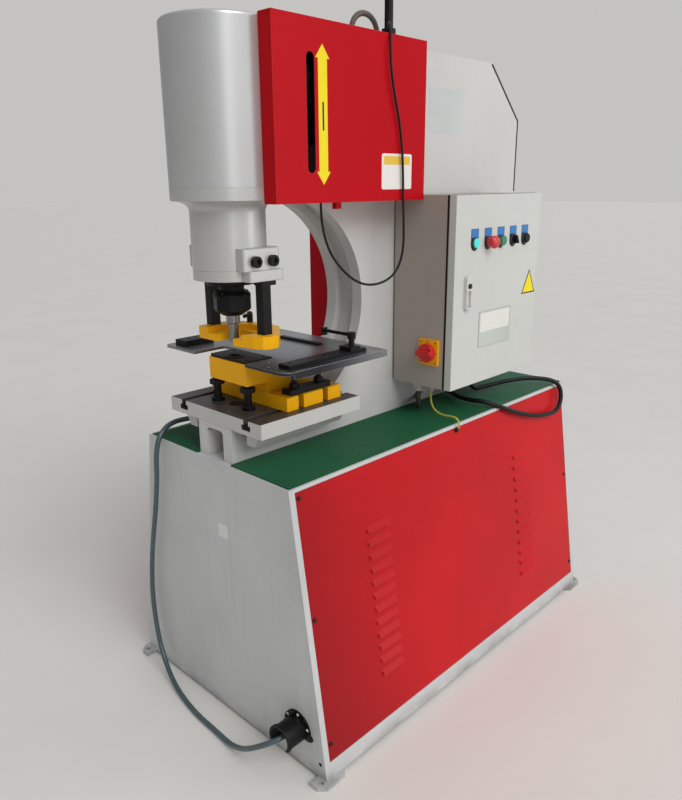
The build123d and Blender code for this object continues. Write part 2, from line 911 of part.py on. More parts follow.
def make_cylinder_shell():
    """A round cover with a rolled rim, slotted for the trip arm and the pipes."""
    shell = upright(cylinder_radius, 0, axis_y, cylinder_seam, cylinder_top)
    shell = fillet(shell.edges().group_by(Axis.Z)[-1], rim_radius)
    inner = cylinder_radius - shell_wall
    shell -= upright(inner, 0, axis_y, cylinder_seam - 1, cylinder_top - shell_wall)
    half = trip_arm_width / 2 + 4
    low = trip_low - stroke - 4
    gap = block(inner - 20, cylinder_radius + 20, -half, half, low, trip_high + 4)
    shell -= Pos(0, axis_y, 0) * Rot(0, 0, trip_angle) * gap
    for x in (-pipe_x, pipe_x):
        shell -= lengthwise(pipe_radius + 1, x, pipe_high, axis_y + 100, axis_y + 180)
    save(shell, "cylinder_shell")


def make_cylinder_barrel():
    """A thick honed tube with the bolted cap that closes it."""
    barrel = upright(barrel_radius, 0, axis_y, cylinder_seam, barrel_top)
    barrel -= upright(bore_radius, 0, axis_y, cylinder_seam - 1, barrel_top + 1)
    depth = sqrt(barrel_radius**2 - pipe_x**2) - 12
    for x in (-pipe_x, pipe_x):
        port = lengthwise(pipe_radius, x, pipe_high, axis_y + depth, axis_y + barrel_radius)
        barrel -= port
    save(barrel, "cylinder_barrel")
    cap = upright(barrel_radius, 0, axis_y, barrel_top, cap_top)
    cap += upright(bore_radius, 0, axis_y, chamber_top, barrel_top)
    for step in range(8):
        angle = radians(22.5 + 45 * step)
        ring = (barrel_radius + bore_radius) / 2
        cap -= upright(7, ring * cos(angle), axis_y + ring * sin(angle), cap_top - 8, cap_top + 1)
    cap -= upright(tail_rod_radius + running_gap, 0, axis_y, chamber_top - 1, cap_top + 1)
    save(cap, "cylinder_cap")


def make_head_neck():
    """A cast neck with a flange, a fillet below it and a lug each side."""
    side = [
        (0, lug_bottom),
        (neck_radius, lug_bottom),
        (neck_radius, neck_fillet_low),
    ]
    reach = cylinder_radius - neck_radius
    for step in range(1, 9):
        turn = radians(90 * step / 8)
        x = neck_radius + reach * (1 - cos(turn))
        side.append((x, neck_fillet_low + neck_fillet * sin(turn)))
    side.append((cylinder_radius, cylinder_seam))
    side.append((0, cylinder_seam))
    neck = revolve(Plane.XZ * Polygon(*side, align=None), Axis.Z)
    neck = Pos(0, axis_y, 0) * neck
    lugs = block(-lug_half_width, lug_half_width, lug_front, lug_rear, lug_bottom, lug_top)
    lugs = fillet(lugs.edges().filter_by(Axis.Z), 6)
    neck += chamfer(lugs.edges().group_by(Axis.Z)[-1], 3)
    neck -= upright(bush_radius, 0, axis_y, lug_bottom - 1, cylinder_seam + 1)
    for hand in (-1, 1):
        for y in lug_screws:
            x = hand * lug_half_width
            low, high = min(x, x - hand * 24), max(x, x - hand * 24)
            neck -= crosswise(lug_screw_radius / 2, y, lug_screw_z, low, high)
    save(neck, "head_neck")
    bush = upright(bush_radius, 0, axis_y, carrier_bottom, cylinder_seam)
    bush -= upright(ram_radius + running_gap, 0, axis_y, carrier_bottom - 1, cylinder_seam + 1)
    save(bush, "guide_bush")


def make_head_screws():
    """Black cap screws, two in each lug of the head."""
    screws = []
    for hand in (-1, 1):
        for y in lug_screws:
            head = Cylinder(lug_screw_radius, lug_screw_head)
            head = chamfer(head.edges().group_by(Axis.Z)[-1], 1.5)
            socket = extrude(RegularPolygon(7, 6, major_radius=False), 10)
            head -= Pos(0, 0, lug_screw_head / 2 - 7) * socket
            shank = Pos(0, 0, -lug_screw_head / 2 - 12) * Cylinder(lug_screw_radius / 2, 24)
            x = lug_half_width + lug_screw_head / 2
            screw = Pos(x, y, lug_screw_z) * Rot(0, 90, 0) * (head + shank)
            screws.append(screw if hand > 0 else mirror(screw, Plane.YZ))
    save(Compound(children=screws), "head_screws")


def make_carrier():
    """The plate under the head that carries the stripper posts, and its gland."""
    carrier = block(
        -carrier_half_width,
        carrier_half_width,
        carrier_front,
        carrier_rear,
        carrier_bottom,
        lug_bottom,
    )
    carrier = fillet(carrier.edges().filter_by(Axis.Z), 5)
    carrier += upright(neck_radius, 0, axis_y, carrier_bottom, lug_bottom)
    carrier -= upright(bush_radius, 0, axis_y, carrier_bottom - 1, lug_bottom + 1)
    save(carrier, "stripper_carrier")
    gland = upright(gland_radius, 0, axis_y, gland_bottom, carrier_bottom)
    gland = chamfer(gland.edges().group_by(Axis.Z)[0], 3)
    gland -= upright(ram_radius + running_gap, 0, axis_y, gland_bottom - 1, carrier_bottom + 1)
    save(gland, "gland_ring")


def make_ram():
    """The piston and the stepped rod that runs through it."""
    rod = upright(ram_radius, 0, axis_y, ram_end, piston_low)
    rod += upright(piston_seat_radius, 0, axis_y, piston_low, piston_top)
    rod += upright(tail_rod_radius, 0, axis_y, piston_top, trip_high)
    save(rod, "ram")
    piston = upright(bore_radius - running_gap, 0, axis_y, piston_low, piston_top)
    piston -= upright(piston_seat_radius, 0, axis_y, piston_low - 1, piston_top + 1)
    for level in (0.3, 0.7):
        z = piston_low + level * piston_height
        ring = upright(bore_radius + 5, 0, axis_y, z - 4, z + 4)
        piston -= ring - upright(bore_radius - 5, 0, axis_y, z - 5, z + 5)
    save(piston, "piston")


def make_trip_arm():
    """An arm on the tail rod with a bar hanging behind the slot in the cover."""
    half = trip_arm_width / 2
    arm = block(0, trip_reach, -half, half, trip_low, trip_high)
    arm += upright(tail_rod_radius + 12, 0, 0, trip_low, trip_high)
    arm = Pos(0, axis_y, 0) * Rot(0, 0, trip_angle) * arm
    arm -= upright(tail_rod_radius, 0, axis_y, trip_low - 1, trip_high + 1)
    width = trip_bar_width / 2
    bar = block(
        trip_x - width,
        trip_x + width,
        trip_y - width,
        trip_y + width,
        trip_bar_low,
        trip_high,
    )
    reach = trip_y + width + trip_dog
    low, high = upper_switch_z - trip_dog_height / 2, upper_switch_z + trip_dog_height / 2
    dog = block(trip_x - width, trip_x + width, trip_y, reach, low, high)
    save(arm + bar + dog, "trip_arm")


def make_limit_rail():
    """A slotted plate on two brackets that carries the position switches."""
    half = limit_rail_width / 2
    front = rail_y - half
    rear = rail_y + half
    edge = rail_x + rail_sheet
    rail = block(rail_x, edge, front, rear, rail_low, rail_high)
    slot = block(rail_x - 1, edge + 1, 0, 2 * rail_slot, rail_low + 24, rail_high - 24)
    rail -= Pos(0, rail_y - rail_slot, 0) * slot
    for z in (rail_low, rail_high - 20):
        rail += block(frame_half, rail_x, front, rear, z, z + 20)
    return rail


def make_limit_switch(z):
    """A position switch with a tongue and a clamp nut that slide on the rail."""
    half = switch_body / 2
    face = rail_x + rail_sheet + slide_gap
    body = block(face, face + 30, rail_y - half, rail_y + half, z - 23, z + 23)
    body = fillet(body.edges().filter_by(Axis.X), 3)
    nose = trip_y + trip_bar_width / 2 + trip_dog + 2
    body += lengthwise(9, trip_x, z, nose, rail_y - half + 1)
    tongue = rail_slot - slide_gap
    back = rail_x - slide_gap
    body += block(back, face + 1, rail_y - tongue, rail_y + tongue, z - 12, z + 12)
    body += block(back - 7, back, rail_y - 14, rail_y + 14, z - 12, z + 12)
    return body


def make_slot_cover():
    """A red sheet cover beside the cylinder with a long upright slot."""
    low, high = cover_bottom, cover_top
    cover = block(frame_half, cover_outer, cover_front, cover_rear, low, high)
    inside = block(
        frame_half - 1,
        cover_outer - cover_sheet,
        cover_front + cover_sheet,
        cover_rear - cover_sheet,
        low + cover_sheet,
        high - cover_sheet,
    )
    cover -= inside
    clear = cylinder_radius + cover_gap
    cover -= upright(clear, 0, axis_y, low - 1, high + 1)
    front = trip_y - cover_slot_width / 2
    half = cover_slot_width / 2
    low_end, high_end = cover_slot_low + half, cover_slot_high - half
    slot = block(cover_outer - 20, cover_outer + 1, front, front + 2 * half, low_end, high_end)
    for z in (low_end, high_end):
        slot += crosswise(half, trip_y, z, cover_outer - 20, cover_outer + 1)
    cover -= slot
    tab = block(frame_half, frame_half + 2, 0, 16, 0, 40)
    for z in (low + 60, high - 120):
        cover += Pos(0, cover_rear - cover_sheet - 15, z) * tab
    rear_y = rail_y + limit_rail_width
    cover += block(cover_outer - 40, cover_outer - 22, rear_y + 22, rear_y + 40, low - 18, low + cover_sheet)
    cover -= upright(cord_hole_radius, control_hole_x, control_hole_y, low - 1, low + 9)
    save(cover, "slot_cover")


def make_far_cover():
    """A red sheet box on the far side plate."""
    outer = block(
        -cover_outer,
        -frame_half,
        far_cover_front,
        far_cover_rear,
        far_cover_bottom,
        far_cover_top,
    )
    inside = block(
        -cover_outer + cover_sheet,
        -frame_half + 1,
        far_cover_front + cover_sheet,
        far_cover_rear - cover_sheet,
        far_cover_bottom + cover_sheet,
        far_cover_top - cover_sheet,
    )
    save(outer - inside, "far_side_cover")


def make_punch_nut():
    """The coupling nut that clamps the punch to the ram, with flats and a clamp arm."""
    side = [
        (0, nut_low - nut_taper),
        (nut_nose_radius, nut_low - nut_taper),
        (nut_radius - 4, nut_low),
        (nut_radius, nut_low + 5),
        (nut_radius, nut_top - 9),
        (nut_radius - 7, nut_top),
        (0, nut_top),
    ]
    nut = revolve(Plane.XZ * Polygon(*side, align=None), Axis.Z)
    cut = block(nut_radius - 4, nut_radius + 9, -nut_radius, nut_radius, nut_low - 20, nut_top - 16)
    for step in range(nut_flats):
        nut -= Rot(0, 0, (step + 0.5) * 360 / nut_flats) * cut
    for step in range(4):
        angle = radians(90 * step + 20)
        pin = upright(4.5, 0, 0, nut_low + 28, nut_top + 1)
        nut -= Pos((nut_radius - 3) * cos(angle), (nut_radius - 3) * sin(angle), 0) * pin
    nut = Pos(0, axis_y, 0) * nut
    nut -= upright(ram_radius, 0, axis_y, ram_end, nut_top + 1)
    nut -= upright(punch_head_radius, 0, axis_y, nut_low + 6, ram_end)
    nut -= upright(punch_shank_radius, 0, axis_y, nut_low - nut_taper - 1, nut_low + 7)
    save(nut, "punch_nut")


def make_punch():
    """A headed punch with a shank and a smaller working end."""
    punch = upright(punch_head_radius, 0, axis_y, nut_low + 6, ram_end)
    punch += upright(punch_shank_radius, 0, axis_y, punch_shoulder, nut_low + 7)
    punch = chamfer(punch.edges().group_by(Axis.Z)[0], 2)
    punch += upright(punch_radius, 0, axis_y, punch_tip, punch_shoulder)
    save(punch, "punch")


def make_stripper():
    """A U shaped fork hung on two square posts."""
    near, far = fork_near_edge, fork_far_edge
    end = post_x + fork_end
    rear = fork_bridge_rear
    outline = [
        (near, fork_front + 2),
        (post_x + 5, fork_front + 15),
        (end - 10, fork_front + 25),
        (end, fork_front + 42),
        (end - 1, post_y + 14),
        (end - 36, rear - 58),
        (end - 60, rear - 38),
        (end - 98, rear - 6),
        (near - 30, rear),
        (far + 21, rear - 2),
        (far - 33, rear - 16),
        (-post_x + 4, rear - 42),
        (-post_x - 11, post_y + 32),
        (-post_x - 12, fork_far_front + 6),
        (-post_x - 6, fork_far_front),
        (far, fork_far_front),
        (far, fork_bridge_front),
        (near, fork_bridge_front),
    ]
    fork = plan_outline(outline, fork_bottom, fork_top)
    fork -= upright(fork_recess_radius, 0, axis_y, fork_top - fork_recess, fork_top + 1)
    save(fork, "stripper_fork")
    posts = []
    for hand in (-1, 1):
        x = hand * post_x
        half = post_size / 2
        post = block(x - half, x + half, post_y - half, post_y + half, fork_top, carrier_bottom)
        post = chamfer(post.edges().filter_by(Axis.Z), 1.5)
        low = carrier_bottom - post_plate
        inner, outer = sorted((hand * (post_x - half - 4), hand * (post_x + half)))
        post += block(inner, outer, post_y - half, post_y + half + post_plate_reach, low, carrier_bottom)
        posts.append(post)
    nozzle = upright(9, nozzle_x, nozzle_y, fork_top, nozzle_z)
    nozzle += Pos(nozzle_x, nozzle_y, nozzle_z) * Sphere(9)
    turn = degrees(atan2(axis_y - nozzle_y, -nozzle_x))
    spout = crosswise(5.5, 0, 0, 0, nozzle_reach)
    nozzle += Pos(nozzle_x, nozzle_y, nozzle_z) * Rot(0, 0, turn) * spout
    posts.append(nozzle)
    save(Compound(children=posts), "stripper_posts")


def make_die_shoe():
    """A cast shoe whose head reaches forward over the table's front."""
    foot = block(
        -shoe_foot_half,
        shoe_foot_half,
        shoe_foot_front,
        shoe_foot_rear,
        table_top,
        foot_top,
    )
    foot = chamfer(foot.edges().group_by(Axis.Z)[-1], 2)
    web = [
        (shoe_web_front - 6, foot_top - 5),
        (shoe_web_front - 6, foot_top),
        (shoe_web_front, foot_top + 6),
        (shoe_web_front, shoe_head_low - 14),
        (shoe_web_front - 4, shoe_head_low - 4),
        (shoe_web_front - 14, shoe_head_low),
        (shoe_head_front, shoe_head_low),
        (shoe_head_front, shoe_top),
        (shoe_head_rear, shoe_top),
        (shoe_head_rear, shoe_head_low),
        (shoe_foot_rear - 24, foot_top),
        (shoe_foot_rear - 24, foot_top - 5),
    ]
    shoe = foot + side_outline(web, -shoe_head_half, shoe_head_half)
    end = shoe_foot_half - shoe_slot_depth
    half = shoe_slot_width / 2
    for hand in (-1, 1):
        for y in shoe_slots:
            x = hand * end
            inner, outer = sorted((x, hand * (shoe_foot_half + 1)))
            shoe -= block(inner, outer, y - half, y + half, table_top - 1, foot_top + 1)
            shoe -= upright(half, x, y, table_top - 1, foot_top + 1)
    shoe -= upright(die_radius, 0, axis_y, die_low, shoe_top + 1)
    shoe -= upright(slug_radius, 0, axis_y, shoe_head_low - 1, die_low + 1)
    save(shoe, "die_shoe")
    front, rear = shoe_head_front + 2, support_cut_rear - support_gap
    half = shoe_head_half - 2
    holder = block(-half, half, front, rear, shoe_top, support_top)
    holder = chamfer(holder.edges().filter_by(Axis.Z), 4)
    holder -= upright(die_radius, 0, axis_y, shoe_top - 1, support_top + 1)
    for x in (-half + 15, half - 15):
        for y in (front + 14, rear - 14):
            holder -= upright(5, x, y, shoe_top + 2, support_top + 1)
    save(holder, "die_holder")
    die = upright(die_radius, 0, axis_y, die_low, die_top)
    die = chamfer(die.edges().group_by(Axis.Z)[-1], 1)
    die -= upright(punch_radius + die_gap, 0, axis_y, die_low - 1, die_top + 1)
    die -= upright(slug_radius - 3, 0, axis_y, die_low - 1, die_top - 12)
    save(die, "die")


def make_shoe_bolts():
    """T bolts with nuts and washers, clamp straps, and two jack screws."""
    parts = []
    for hand in (-1, 1):
        x = hand * slot_spacing / 2
        for y in shoe_slots:
            head = table_top - slot_neck_depth
            bolt = block(x - 16, x + 16, y - 16, y + 16, head - 12, head)
            bolt += upright(bolt_radius, x, y, head - 1, foot_top + strap_height + 26)
            bolt += hex_bar(24, x, y, foot_top + strap_height, foot_top + strap_height + 14)
            parts.append(bolt)
        low, high = min(shoe_slots) - 30, max(shoe_slots) + 30
        strap = block(x - 19, x + 19, low, high, foot_top, foot_top + strap_height)
        for y in shoe_slots:
            strap -= upright(bolt_radius + 0.5, x, y, foot_top - 1, foot_top + strap_height + 1)
        parts.append(strap)
        jack = upright(jack_radius, hand * jack_x, jack_y, table_top, shoe_head_low)
        jack += hex_bar(38, hand * jack_x, jack_y, shoe_head_low - 20, shoe_head_low - 6)
        jack += upright(jack_radius + 8, hand * jack_x, jack_y, table_top, table_top + 10)
        parts.append(jack)
    save(Compound(children=parts), "shoe_bolts")


def make_support_plate():
    """A polished plate round the die, with an edge rail and a bracket under each wing."""
    outline = [
        (support_far, support_front + 8),
        (support_far + 8, support_front),
        (support_cut_far, support_front),
        (support_cut_far, support_cut_rear),
        (support_cut_near, support_cut_rear),
        (support_cut_near, support_front),
        (support_near, support_front),
        (support_near, support_rear),
        (support_far + 8, support_rear),
        (support_far, support_rear - 8),
    ]
    plate = plan_outline(outline, shoe_top, support_top)
    for corner in ((support_cut_far, support_cut_rear), (support_cut_near, support_cut_rear)):
        close = plate.edges().filter_by(Axis.Z).sort_by_distance((*corner, shoe_top + 4))[0]
        plate = fillet(close, 16)
    spot = (support_near, support_front, shoe_top + 4)
    close = plate.edges().filter_by(Axis.Z).sort_by_distance(spot)[0]
    plate = fillet(close, support_corner)
    low = support_top - rail_height
    front = support_front + support_corner + 1
    plate += block(support_near - rail_width, support_near, front, support_rear, low, shoe_top + 1)
    for hand in (-1, 1):
        inner, outer = sorted((hand * (shoe_head_half + 1), hand * (shoe_head_half + 116)))
        plate += block(inner, outer, shoe_head_rear + 26, shoe_head_rear + 64, shoe_top - 18, shoe_top)
    holes = (
        (support_cut_near + 32, support_front + 62),
        (support_cut_near + 76, support_front + 22),
        (support_far + 74, support_rear - 216),
        (support_far + 74, support_rear - 36),
        (support_cut_near - 60, support_rear - 126),
    )
    for x, y in holes:
        plate -= upright(4.5, x, y, shoe_top - 1, support_top + 1)
    save(plate, "support_plate")


def make_gauge_bars():
    """Black stop bars on the plate and the back stop with its post and rod."""
    bars = []
    half = gauge_width / 2
    low, high = support_top, support_top + gauge_height
    bar_front, bar_rear = support_front + 42, support_rear - 56
    near = block(gauge_x - half, gauge_x + half, bar_front, bar_rear, low, high)
    near = chamfer(near.edges().group_by(Axis.Z)[-1], 1.5)
    for y in (bar_front + 20, (bar_front + bar_rear) / 2 - 4, bar_rear - 28):
        near -= upright(5, gauge_x, y, high - 6, high + 1)
    bars.append(near)
    far = block(support_far + 28, support_far + 82, support_front + 18, support_front + 120, low, high + 8)
    bars.append(chamfer(far.edges().group_by(Axis.Z)[-1], 1.5))
    stop = block(-96, 82, support_rear - 102, support_rear - 84, low, high - 3)
    bars.append(chamfer(stop.edges().group_by(Axis.Z)[-1], 1))
    post_centre = support_rear - 111
    foot = block(gauge_x - 16, gauge_x + 30, post_centre - 19, post_centre + 19, high, high + 12)
    post = upright(8, gauge_x + 14, post_centre, high + 12, high + 52)
    boss = upright(12, gauge_x + 14, post_centre, high + 34, high + 52)
    rod = crosswise(5, post_centre, high + 44, gauge_x - 94, gauge_x + 14)
    tip = (post_centre - 10, post_centre + 10, high + 30, high + 52)
    shoe = block(gauge_x - 98, gauge_x - 92, *tip)
    bars.append(foot + post + boss + rod + shoe)
    save(Compound(children=bars), "gauge_bars")


def make_cabinet_body():
    """A sheet steel cabinet, open to its door, with hinge pins and cable glands."""
    back, seam = cabinet_back, door_seam
    body = block(back, seam, cabinet_front, cabinet_rear, cabinet_bottom, cabinet_top)
    sheet = cabinet_sheet
    body -= block(
        back + sheet,
        seam - sheet,
        cabinet_front + sheet,
        cabinet_rear - sheet,
        cabinet_bottom + sheet,
        cabinet_top - sheet,
    )
    body -= block(
        seam - sheet - 1,
        seam + 1,
        cabinet_front + cabinet_lip,
        cabinet_rear - cabinet_lip,
        cabinet_bottom + cabinet_lip,
        cabinet_top - cabinet_lip,
    )
    for y in (cabinet_front + 60, cabinet_rear - 60):
        for z in (cabinet_bottom + 60, cabinet_top - 60):
            body += crosswise(14, y, z, frame_half, back)
    for z in hinge_heights:
        low = z - hinge_length / 2
        body += block(hinge_x - 6, hinge_x - 0.5, cabinet_rear, hinge_y, low, z - 0.1)
        body += upright(hinge_radius, hinge_x, hinge_y, low, z - 0.1)
        body += upright(hinge_pin, hinge_x, hinge_y, z - 1, z + hinge_length / 2)
    for x, y, radius in glands:
        low, high = cabinet_bottom - gland_reach, cabinet_bottom + 8
        body += upright(radius + 6, x, y, low, high)
        body += hex_bar(2 * radius + 16, x, y, cabinet_bottom - 9, cabinet_bottom)
        body -= upright(radius, x, y, low - 1, high + 1)
    body -= lengthwise(6 + running_gap, switch_x, switch_z, cabinet_front - 1, cabinet_front + 4)
    save(body, "cabinet_body")


def make_cabinet_door():
    """A flanged door on two barrel hinges, bored for the devices it carries."""
    low, high = cabinet_bottom + door_gap, cabinet_top - door_gap
    seam = door_seam + door_gap
    door = block(seam, door_outer, cabinet_front, cabinet_rear, low, high)
    door = fillet(door.edges().group_by(Axis.X)[-1], 2)
    door -= block(
        seam - 1,
        door_outer - door_sheet,
        cabinet_front + door_sheet,
        cabinet_rear - door_sheet,
        low + door_sheet,
        high - door_sheet,
    )
    for z in hinge_heights:
        top = z + hinge_length / 2
        door += block(hinge_x + 0.5, hinge_x + 5, cabinet_rear, hinge_y, z + 0.1, top)
        door += upright(hinge_radius, hinge_x, hinge_y, z + 0.1, top)
        door -= upright(hinge_pin + running_gap, hinge_x, hinge_y, z, top + 1)
    for step in range(5):
        y = device_first + step * device_pitch
        door -= crosswise(device_hole, y, device_z, seam, door_outer + 1)
    door -= block(seam, door_outer + 1, lock_y - 8, lock_y + 8, lock_z - 40, lock_z + 40)
    save(door, "cabinet_door")


def make_control_gear():
    """The mounting plate inside the cabinet with its rows of control gear."""
    plate_x = cabinet_back + cabinet_sheet + 12
    low, high = cabinet_bottom + 50, cabinet_top - 50
    front, rear = cabinet_front + 50, cabinet_rear - 50
    gear = block(plate_x, plate_x + 3, front, rear, low, high)
    for y in (front + 20, rear - 20):
        for z in (low + 20, high - 20):
            gear += crosswise(6, y, z, cabinet_back + cabinet_sheet, plate_x)
    for z in (low + 120, low + 260, low + 400):
        gear += block(plate_x + 3, plate_x + 10, front + 20, rear - 20, z - 17, z + 17)
    for z, depth, width in ((low + 120, 58, 36), (low + 260, 70, 54), (low + 400, 46, 30)):
        y = front + 36
        while y + width < rear - 30:
            face = plate_x + 9 + depth
            gear += block(plate_x + 9, face, y, y + width - 4, z - 40, z + 40)
            y += width
    save(gear, "control_gear")


def make_device(style):
    """One device's moving part about the X axis, with the door's face at X zero."""
    cap_low = bezel_base + device_travel + 0.2
    stem = crosswise(stem_radius, 0, 0, -stem_length, cap_low + 1)
    stem += crosswise(stem_radius + 2, 0, 0, -stem_length - 2.5, -stem_length)
    if style == "stop":
        neck = crosswise(cap_radius, 0, 0, cap_low, 18)
        side = [(16, 0), (16, 15), (20, 20), (30, 20), (36, 15), (38, 7), (38, 0)]
        head = revolve(Plane.XY * Polygon(*side, align=None), Axis.X)
        return stem + neck + head
    if style == "selector":
        disc = crosswise(cap_radius, 0, 0, bezel_base + 0.1, 10)
        grip = Rot(25, 0, 0) * block(9, 21, -4, 4, 1 - cap_radius, cap_radius - 1)
        grip = fillet(grip.edges().filter_by(Axis.X), 3)
        return crosswise(stem_radius, 0, 0, -stem_length, bezel_base + 1) + disc + grip + crosswise(
            stem_radius + 2, 0, 0, -stem_length - 2.5, -stem_length
        )
    top = {"cyan": 11, "green": 16, "black": 14}[style]
    cap = crosswise(cap_radius, 0, 0, cap_low, top)
    return stem + fillet(cap.edges().group_by(Axis.X)[-1], 1.5)


def make_devices():
    """The five devices on the door, their bezels and the lock body."""
    styles = ("cyan", "stop", "green", "selector", "black")
    names = ("cyan_button", "stop_button", "green_button", "selector_knob", "black_button")
    fittings = []
    for step, (style, name) in enumerate(zip(styles, names)):
        place = Pos(door_outer, device_first + step * device_pitch, device_z)
        moving = place * make_device(style)
        save(moving, name)
        rim = 7 if style != "stop" else 5
        bezel = crosswise(bezel_radius, 0, 0, 0, rim)
        bezel = fillet(bezel.edges().group_by(Axis.X)[-1], 1)
        bezel -= crosswise(cap_radius + running_gap, 0, 0, bezel_base, rim + 1)
        bezel += crosswise(device_hole, 0, 0, -stem_length + 0.2, 0)
        bezel += crosswise(bezel_radius - 1, 0, 0, -door_sheet - 6, -door_sheet)
        bezel -= crosswise(stem_radius + running_gap, 0, 0, -stem_length - 1, rim)
        fittings.append(place * bezel)
    half, tall = lock_width / 2, lock_height / 2
    lock = block(0, lock_depth, -half, half, -tall, tall)
    lock = fillet(lock.edges().filter_by(Axis.X), 8)
    lock = fillet(lock.edges().group_by(Axis.X)[-1], 1.5)
    lock += block(-14, 0, -8, 8, -40, 40)
    lock -= crosswise(lock_button_radius + running_gap, 0, 21, 2, lock_depth + 1)
    lock -= crosswise(stem_radius - 2 + running_gap, 0, 21, -15, 3)
    lock -= block(4, lock_depth + 1, -lock_pocket, lock_pocket, -45, 5)
    lock += crosswise(4, 0, -38, 3, lock_depth - 2)
    fittings.append(Pos(door_outer, lock_y, lock_z) * lock)
    save(Compound(children=fittings), "door_fittings")
    button = crosswise(lock_button_radius, 0, 21, 2 + lock_travel + 0.1, lock_depth + 4)
    button = fillet(button.edges().group_by(Axis.X)[-1], 1)
    button += crosswise(stem_radius - 2, 0, 21, -16, 8)
    button += crosswise(stem_radius, 0, 21, -18, -16)
    save(Pos(door_outer, lock_y, lock_z) * button, "lock_button")


def make_main_switch():
    """The rotary main switch on the cabinet's front face."""
    half, tall = switch_plate_width / 2, switch_plate_height / 2
    front = cabinet_front - switch_plate_depth
    plate = block(
        switch_x - half,
        switch_x + half,
        front,
        cabinet_front,
        switch_z - tall,
        switch_z + tall,
    )
    plate = fillet(plate.edges().filter_by(Axis.Y), 5)
    plate -= lengthwise(6 + running_gap, switch_x, switch_z, front - 1, cabinet_front + 1)
    save(plate, "switch_plate")
    knob = lengthwise(knob_radius, 0, 0, -knob_depth * 0.55, -0.2)
    knob = fillet(knob.edges().group_by(Axis.Y)[0], 2)
    grip = block(-knob_radius + 2, knob_radius - 2, -knob_depth, -knob_depth * 0.5, -9, 9)
    knob += fillet(grip.edges().filter_by(Axis.Y), 6)
    knob += lengthwise(6, 0, 0, -1, switch_plate_depth + 34)
    knob += lengthwise(10, 0, 0, switch_plate_depth + cabinet_sheet + 1, switch_plate_depth + 12)
    save(Pos(switch_x, front, switch_z) * knob, "switch_knob")


def make_power_unit():
    """Tank, lid with valve block, motor, rotor shaft and pump inside the base."""
    half = tank_width / 2
    rear = tank_front + tank_length
    tank = block(-half, half, tank_front, rear, tray_top, tank_top)
    tank = fillet(tank.edges().filter_by(Axis.Z), 12)
    inner = half - tank_sheet
    hollow = block(
        -inner,
        inner,
        tank_front + tank_sheet,
        rear - tank_sheet,
        tray_top + tank_sheet,
        tank_top + 1,
    )
    tank -= hollow
    save(tank, "oil_tank")
    lid_top = tank_top + lid_thickness
    lid = block(-half, half, tank_front, rear, tank_top, lid_top)
    lid = fillet(lid.edges().filter_by(Axis.Z), 12)
    lid += upright(28, 140, rear - 90, lid_top, lid_top + 40)
    lid += block(-70, 70, rear - 110, rear - 20, lid_top, lid_top + 90)
    for x in (-40, 40):
        lid += block(x - 22, x + 22, rear - 130, rear, lid_top + 90, lid_top + 130)
    for x in (-pipe_x, pipe_x):
        low, high = lid_top + 96, lid_top + 131
        lid -= upright(pipe_radius, x, rear - 65, low, high)
    save(lid, "tank_lid")
    motor_rear = motor_front + motor_length
    motor = lengthwise(motor_radius, 0, shaft_z, motor_front, motor_rear)
    for step in range(12):
        fin = block(motor_radius - 2, motor_radius + 6, motor_front + 16, motor_rear - 16, -2, 2)
        motor += Pos(0, 0, shaft_z) * Rot(0, step * 15 + 97.5, 0) * fin
        motor += Pos(0, 0, shaft_z) * Rot(0, -step * 15 - 82.5, 0) * fin
    motor += block(-80, 80, motor_front + 30, motor_rear - 30, lid_top, lid_top + 40)
    motor += block(60, 120, motor_front + 60, motor_front + 150, shaft_z - 30, shaft_z + 30)
    rotor = motor_radius - 30
    motor -= lengthwise(rotor, 0, shaft_z, motor_front + 24, motor_rear - 24)
    hole = shaft_radius + running_gap
    motor -= lengthwise(hole, 0, shaft_z, motor_front + 10, motor_rear + 1)
    save(motor, "motor")
    pump_front = motor_rear + bell_length
    pump_rear = pump_front + pump_length
    shaft = lengthwise(shaft_radius, 0, shaft_z, motor_front + 11, pump_front + 20)
    shaft += lengthwise(rotor - 1, 0, shaft_z, motor_front + 30, motor_rear - 30)
    middle = motor_rear + bell_length / 2
    shaft += lengthwise(34, 0, shaft_z, middle - 30, middle + 30)
    save(shaft, "motor_shaft")
    pump = lengthwise(motor_radius - 14, 0, shaft_z, motor_rear, pump_front)
    pump -= lengthwise(motor_radius - 24, 0, shaft_z, motor_rear - 1, pump_front - 10)
    pump += block(-50, 50, pump_front - 1, pump_rear, shaft_z - 64, shaft_z + 64)
    pump += block(-62, 62, pump_front + 20, pump_rear - 20, shaft_z - 22, shaft_z + 22)
    pump -= lengthwise(hole, 0, shaft_z, pump_front - 12, pump_front + 22)
    pump -= block(-40, 40, motor_rear + 20, pump_front - 30, shaft_z + 40, shaft_z + 90)
    save(pump, "gear_pump")
    pipes = []
    for hand in (-1, 1):
        x = hand * pipe_x
        depth = sqrt(barrel_radius**2 - pipe_x**2) - 12
        path = FilletPolyline(
            (x, rear - 65, lid_top + 96),
            (x, rear - 65, base_height - 118),
            (x, pipe_y, base_height - 118),
            (x, pipe_y, pipe_high),
            (x, axis_y + depth, pipe_high),
            radius=pipe_bend,
        )
        section = Plane(path @ 0, z_dir=path % 0) * Circle(pipe_radius)
        pipes.append(sweep(section, path=path))
    save(Compound(children=pipes), "hydraulic_pipes")


